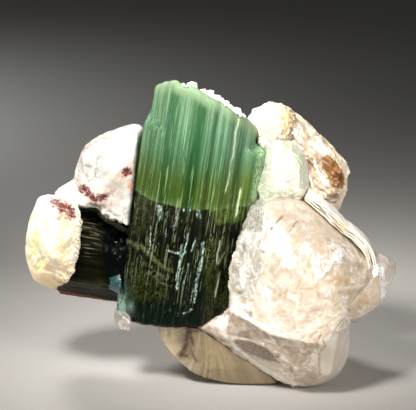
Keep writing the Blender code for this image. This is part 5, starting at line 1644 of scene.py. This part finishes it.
micaFan = dict(
    wobble=1.5, lowest=0.02, apex=(-1.2, 0.0, 8.2), rows=130, columns=320, sharpness=34,
    marks=dict(
        # painted light: the left part, which lies in shade under the crystals above, made lighter
        light=(oval(166, 342, 14, 20, level=0.7), oval(185, 364, 14, 8, level=0.25)),
        stain=(
            oval(190, 336, 13, 10, level=0.45), line((190, 329), (186, 340), (182, 354), width=3.6),
            line((190, 330), (192, 342), width=3.0), oval(188, 342, 8, 14, level=0.65),
            line((182, 354), (188, 355), width=1.8), line((191, 346), (196, 360), width=1.8, level=0.7),
            line((192, 329), (204, 331), (216, 339), width=2.2, level=0.8), oval(169, 334, 2, 5, level=0.6),
            line((185, 340), (185, 354), width=1.5, level=0.6),
        ),
    ),
    corners=(
        (-6, -2.5, 7.2), (-5.9, -2.6, 5.5), (-5.3, -2.9, 4.4), (-4.5, -3.2, 3.6), (-3.9, -3.4, 2.8),
        (-3.2, -3.6, 2.2), (-2.1, -3.7, 1.3), (-0.6, -3.8, 0.8), (1.4, -3.9, 0.3), (3.2, -4.1, 0.1),
        (4.6, -3.9, 0), (6.1, -3.9, 0.2), (8, -4.4, 0.3), (-5.4, -3.4, 7.5), (-2.9, -4.6, 7.4),
        (-1.2, -5.1, 7.2), (0.6, -5.4, 6.1), (3.5, -5.5, 4.1), (6, -5.3, 2.1), (7.5, -4.9, 1.2),
        (-2.3, -4.7, 4.5), (0.6, -4.9, 2.3), (-5.2, 5, 4), (-2.9, 5, 1.6), (0.6, 1, 0), (6, 1, 0),
        (2.3, 4, 4.3),
    ),
)


def fanRibs(points):
    # noise of the angle round the apex, which turns a little with the distance: wide ribs and hairlines
    away = points - np.array(micaFan["apex"])
    angle = np.arctan2(away[..., 0], -away[..., 2]) + 0.04 * np.sqrt((away[..., [0, 2]] ** 2).sum(-1))
    return noiseOf(141, angle * 22, 0.12 * away[..., 2]), noiseOf(142, angle * 60, 0.3 * away[..., 2])


def fanRelief(points):
    # ribs that spread from the apex, finer ones between them, and a frayed lower edge
    wide, hairline = fanRibs(points)
    front = points[..., 1] < 0
    lift = np.clip(points[..., 2] - 0.2, 0, 1)
    ribs = 0.05 * wide + 0.02 * hairline + 0.12 * smoothNoise(points * (1, 0.3, 1), 2.2, 144)
    return ribs * front * lift + 0.05 * roughNoise(points, 0.7, 2, 143) * lift - 0.03


def fanMaterial():
    # beige to olive in the shade, streaked along its ribs, with one brown stain
    material, tree, shader = mineral(
        "fanMica", Roughness=0.45, IOR=1.59, Coat_Weight=0.15, Coat_Roughness=0.25
    )
    vector = stretched(tree)
    rib = painted(tree, "rib")
    cloud = noiseOn(tree, vector, 0.7, 4.0, 0.6, 0.5)
    blotch = between(tree, noiseOn(tree, vector, 1.4, 3.0, 0.6), 0.3, 0.45, 0.75, 1.0)
    colour = stops(tree, rib, [
        (0.25, tone(96, 83, 62)), (0.5, tone(117, 102, 77)), (0.8, tone(138, 124, 97)),
    ])
    colour = layered(tree, colour, (
        (between(tree, cloud, 0.45, 0.7, 0.0, 0.7), tone(120, 108, 76)),
        # painted light on the left part
        (painted(tree, "light"), tone(208, 192, 160)),
        (times(tree, painted(tree, "stain"), blotch), tone(50, 30, 12)),
    ))
    relief = calc(tree, "MULTIPLY_ADD", rib, 0.8, crumbled(tree, vector, 1.6, 0.1)["Height"])
    feed(tree, shader, Base_Color=colour, Normal=bumpOn(tree, relief, 0.1, 0.7))
    return material


def dressMicaFan():
    # its masks: the ribs, and the marks on its front
    spec = micaFan
    piece = makeLump("micaFan", spec, fanRelief)
    points = meshPoints(piece)
    wide, hairline = fanRibs(points)
    addMask(piece, "rib", 0.5 + 0.22 * wide + 0.1 * hairline)
    paint(piece, (points[:, 1] < 0) * 1.0, spec["wobble"], spec["marks"])
    place(piece, "mica_fan", fanMaterial())


albiteCrust = dict(
    size=(0.17, 0.5), seed=151,
    # clumps: place on the cross-section, spread and number of grains
    clumps=(
        (-2.0, -4.3, 0.5, 70), (-0.9, -4.0, 0.5, 16), (0.1, -4.2, 0.4, 64), (1.3, -4.3, 0.45, 70),
        (2.35, -4.2, 0.4, 90), (3.4, -4.0, 0.45, 60), (0.8, -2.4, 1.6, 60),
    ),
)


def makeCrust():
    # small blunt crystals heaped in clumps along the front of the broken top, the largest in their middle
    spec = albiteCrust
    axes, root = mainAxes(), np.array(tourmaline["root"])
    pick = np.random.default_rng(spec["seed"])
    clumps = np.array(spec["clumps"])
    clump = np.repeat(clumps[:, :3], clumps[:, 3].astype(int), axis=0)
    count = len(clump)
    off = pick.normal(0, 1, (count, 2)) * (1.0, 0.8)
    flat = clump[:, :2] + off * clump[:, 2:]
    near = np.exp(-(off**2).sum(1) / 2)
    smallest, largest = spec["size"]
    size = (smallest + (largest - smallest) * pick.uniform(0, 1, count) ** 1.5) * (0.55 + 0.45 * near)
    height = mainTop(flat[:, 0], flat[:, 1]) + size * 0.3 + 0.5 * near * pick.uniform(0, 1, count)
    places = np.column_stack([flat, height]) @ axes + root
    corners = np.array([(x, y, z) for x in (-0.5, 0.5) for y in (-0.4, 0.4) for z in (-0.5, 0.5)])
    faces = np.array([(0, 1, 3, 2), (4, 6, 7, 5), (0, 4, 5, 1), (2, 3, 7, 6), (0, 2, 6, 4), (1, 5, 7, 3)])
    sizes = size[:, None] * pick.uniform(0.8, 1.7, (count, 3))
    turns = randomAxes(count, spec["seed"] + 1)
    piece = blocks("albiteCrust", places, sizes, turns, (corners, faces), spec["seed"] + 2)
    piece.data.polygons.foreach_set("use_smooth", np.zeros(len(piece.data.polygons), bool))
    return piece


def dressCrust():
    # greenish to white grains
    material, tree, shader = mineral("albite", Roughness=0.45, Transmission_Weight=0.1)
    vector = stretched(tree)
    cloud = noiseOn(tree, vector, 1.4, 3.0, 0.6)
    colour = stops(tree, cloud, [(0.35, tone(206, 214, 196)), (0.6, tone(248, 248, 240))])
    relief = crumbled(tree, vector, 3.0, 0.2)["Height"]
    feed(tree, shader, Base_Color=colour, Normal=bumpOn(tree, relief, 0.05, 0.6))
    place(makeCrust(), "albite_crust", material)


quartz = quartzMaterial()
cream = feldsparMaterial()
brown = micaMaterial()
print("shared materials made")

dressTourmaline()
dressSideTourmaline()
dressLump("quartzRight", quartzRight, quartzRelief, quartz)
dressLump("quartzNub", quartzNub, nubRelief, quartz)
dressLump("quartzLeft", quartzLeft, leftRelief, whiteQuartzMaterial())
dressChips()
dressLump("feldsparKnob", feldsparKnob, knobRelief, cream)
dressLump("feldsparUpper", feldsparUpper, upperRelief, cream)
dressLump("feldsparPale", feldsparPale, paleRelief, paleMaterial())
dressLump("micaUpper", micaUpper, micaRelief, brown)
dressMicaStacks(brown)
dressMicaBook()
dressMicaFan()
dressCrust()
print("all solids dressed")

studio = dict(
    cameraDistance=1.2, sensorWidth=36, floorSides=96,
    floor=tone(156, 153, 149),
    floorSize=1.2,
    key=dict(spot=(-0.06, -0.106, 0.148), size=0.05, spread=27, watts=0.0215, colour=(1.0, 0.985, 0.96)),
    back=dict(spot=(-0.06, 0.09, 0.13), size=0.05, spread=50, watts=0.02, colour=(1.0, 0.98, 0.95)),
    fill=dict(spot=(0.1, -0.14, 0.08), size=0.08, spread=30, watts=0.019, colour=(1.0, 0.98, 0.96)),
    wash=dict(
        spot=(-0.09, 0.115, 0.055), size=0.03, spread=84, watts=0.0135, colour=(0.96, 1.0, 1.0),
        aim=(-0.05, 0.095, 0.0),
    ),
    low=dict(
        spot=(0.03, -0.11, 0.008), size=0.04, spread=20, watts=0.0009, colour=(1.0, 0.84, 0.64),
        aim=(0.006, -0.008, 0.0),
    ),
    side=dict(
        spot=(-0.12, -0.07, 0.03), size=0.04, spread=34, watts=0.0042, colour=(1.0, 0.94, 0.84),
        aim=(-0.016, -0.005, 0.014),
    ),
    world=0.06, cameraRange=(0.05, 10),
)


def addFloor():
    # a round sheet under the piece
    mesh = bpy.data.meshes.new("floor")
    sides = studio["floorSides"]
    turn = np.arange(sides) * math.tau / sides
    ring = np.column_stack([np.cos(turn), np.sin(turn), 0 * turn]) * studio["floorSize"]
    mesh.from_pydata(ring.tolist(), [], [tuple(range(sides))])
    floor = bpy.data.objects.new("floor", mesh)
    bpy.context.scene.collection.objects.link(floor)
    mesh.materials.append(mineral("floorPaint", Base_Color=studio["floor"], Roughness=0.7)[0])


def addLight(name, spot, size, spread, watts, colour, aim=(-0.005, -0.005, 0.018)):
    # a round soft light at a spot, turned to its aim, in metres
    light = bpy.data.lights.new(name, "AREA")
    light.shape, light.size, light.energy, light.color = "DISK", size, watts, colour
    light.spread = math.radians(spread)
    lamp = bpy.data.objects.new(name, light)
    bpy.context.scene.collection.objects.link(lamp)
    lamp.location = spot
    lamp.rotation_euler = (Vector(aim) - Vector(spot)).to_track_quat("-Z", "Y").to_euler()


def addWorld():
    # an even, faint and slightly blue light from all round
    world = bpy.data.worlds.new("room")
    world.use_nodes = True
    level = studio["world"]
    world.node_tree.nodes["Background"].inputs["Color"].default_value = (level, level, level * 1.02, 1)
    bpy.context.scene.world = world


def addCamera():
    # far off with a long lens, level with the middle of the sheet and dipping to it
    distance = studio["cameraDistance"]
    data = bpy.data.cameras.new("camera")
    data.sensor_width = studio["sensorWidth"]
    data.lens = data.sensor_width * distance / (sheetSize[0] * sheetStep * mm)
    data.clip_start, data.clip_end = studio["cameraRange"]
    camera = bpy.data.objects.new("camera", data)
    bpy.context.scene.collection.objects.link(camera)
    up = np.array((0, math.sin(viewTilt), math.cos(viewTilt)))
    back = np.array((0, -math.cos(viewTilt), math.sin(viewTilt)))
    middle = (up * (sheetOrigin[1] - sheetSize[1] / 2) * sheetStep - footCentre) * mm
    middle[0] += (sheetSize[0] / 2 - sheetOrigin[0]) * sheetStep * mm
    camera.location = middle + back * distance
    camera.rotation_euler = (math.pi / 2 - viewTilt, 0, 0)
    bpy.context.scene.camera = camera


addFloor()
for name in ("key", "back", "fill", "low", "side", "wash"):
    addLight(name, **studio[name])
addWorld()
addCamera()
bpy.context.scene.view_settings.view_transform = "Standard"
bpy.context.scene.view_settings.look = "None"
print("floor, lights and camera set")
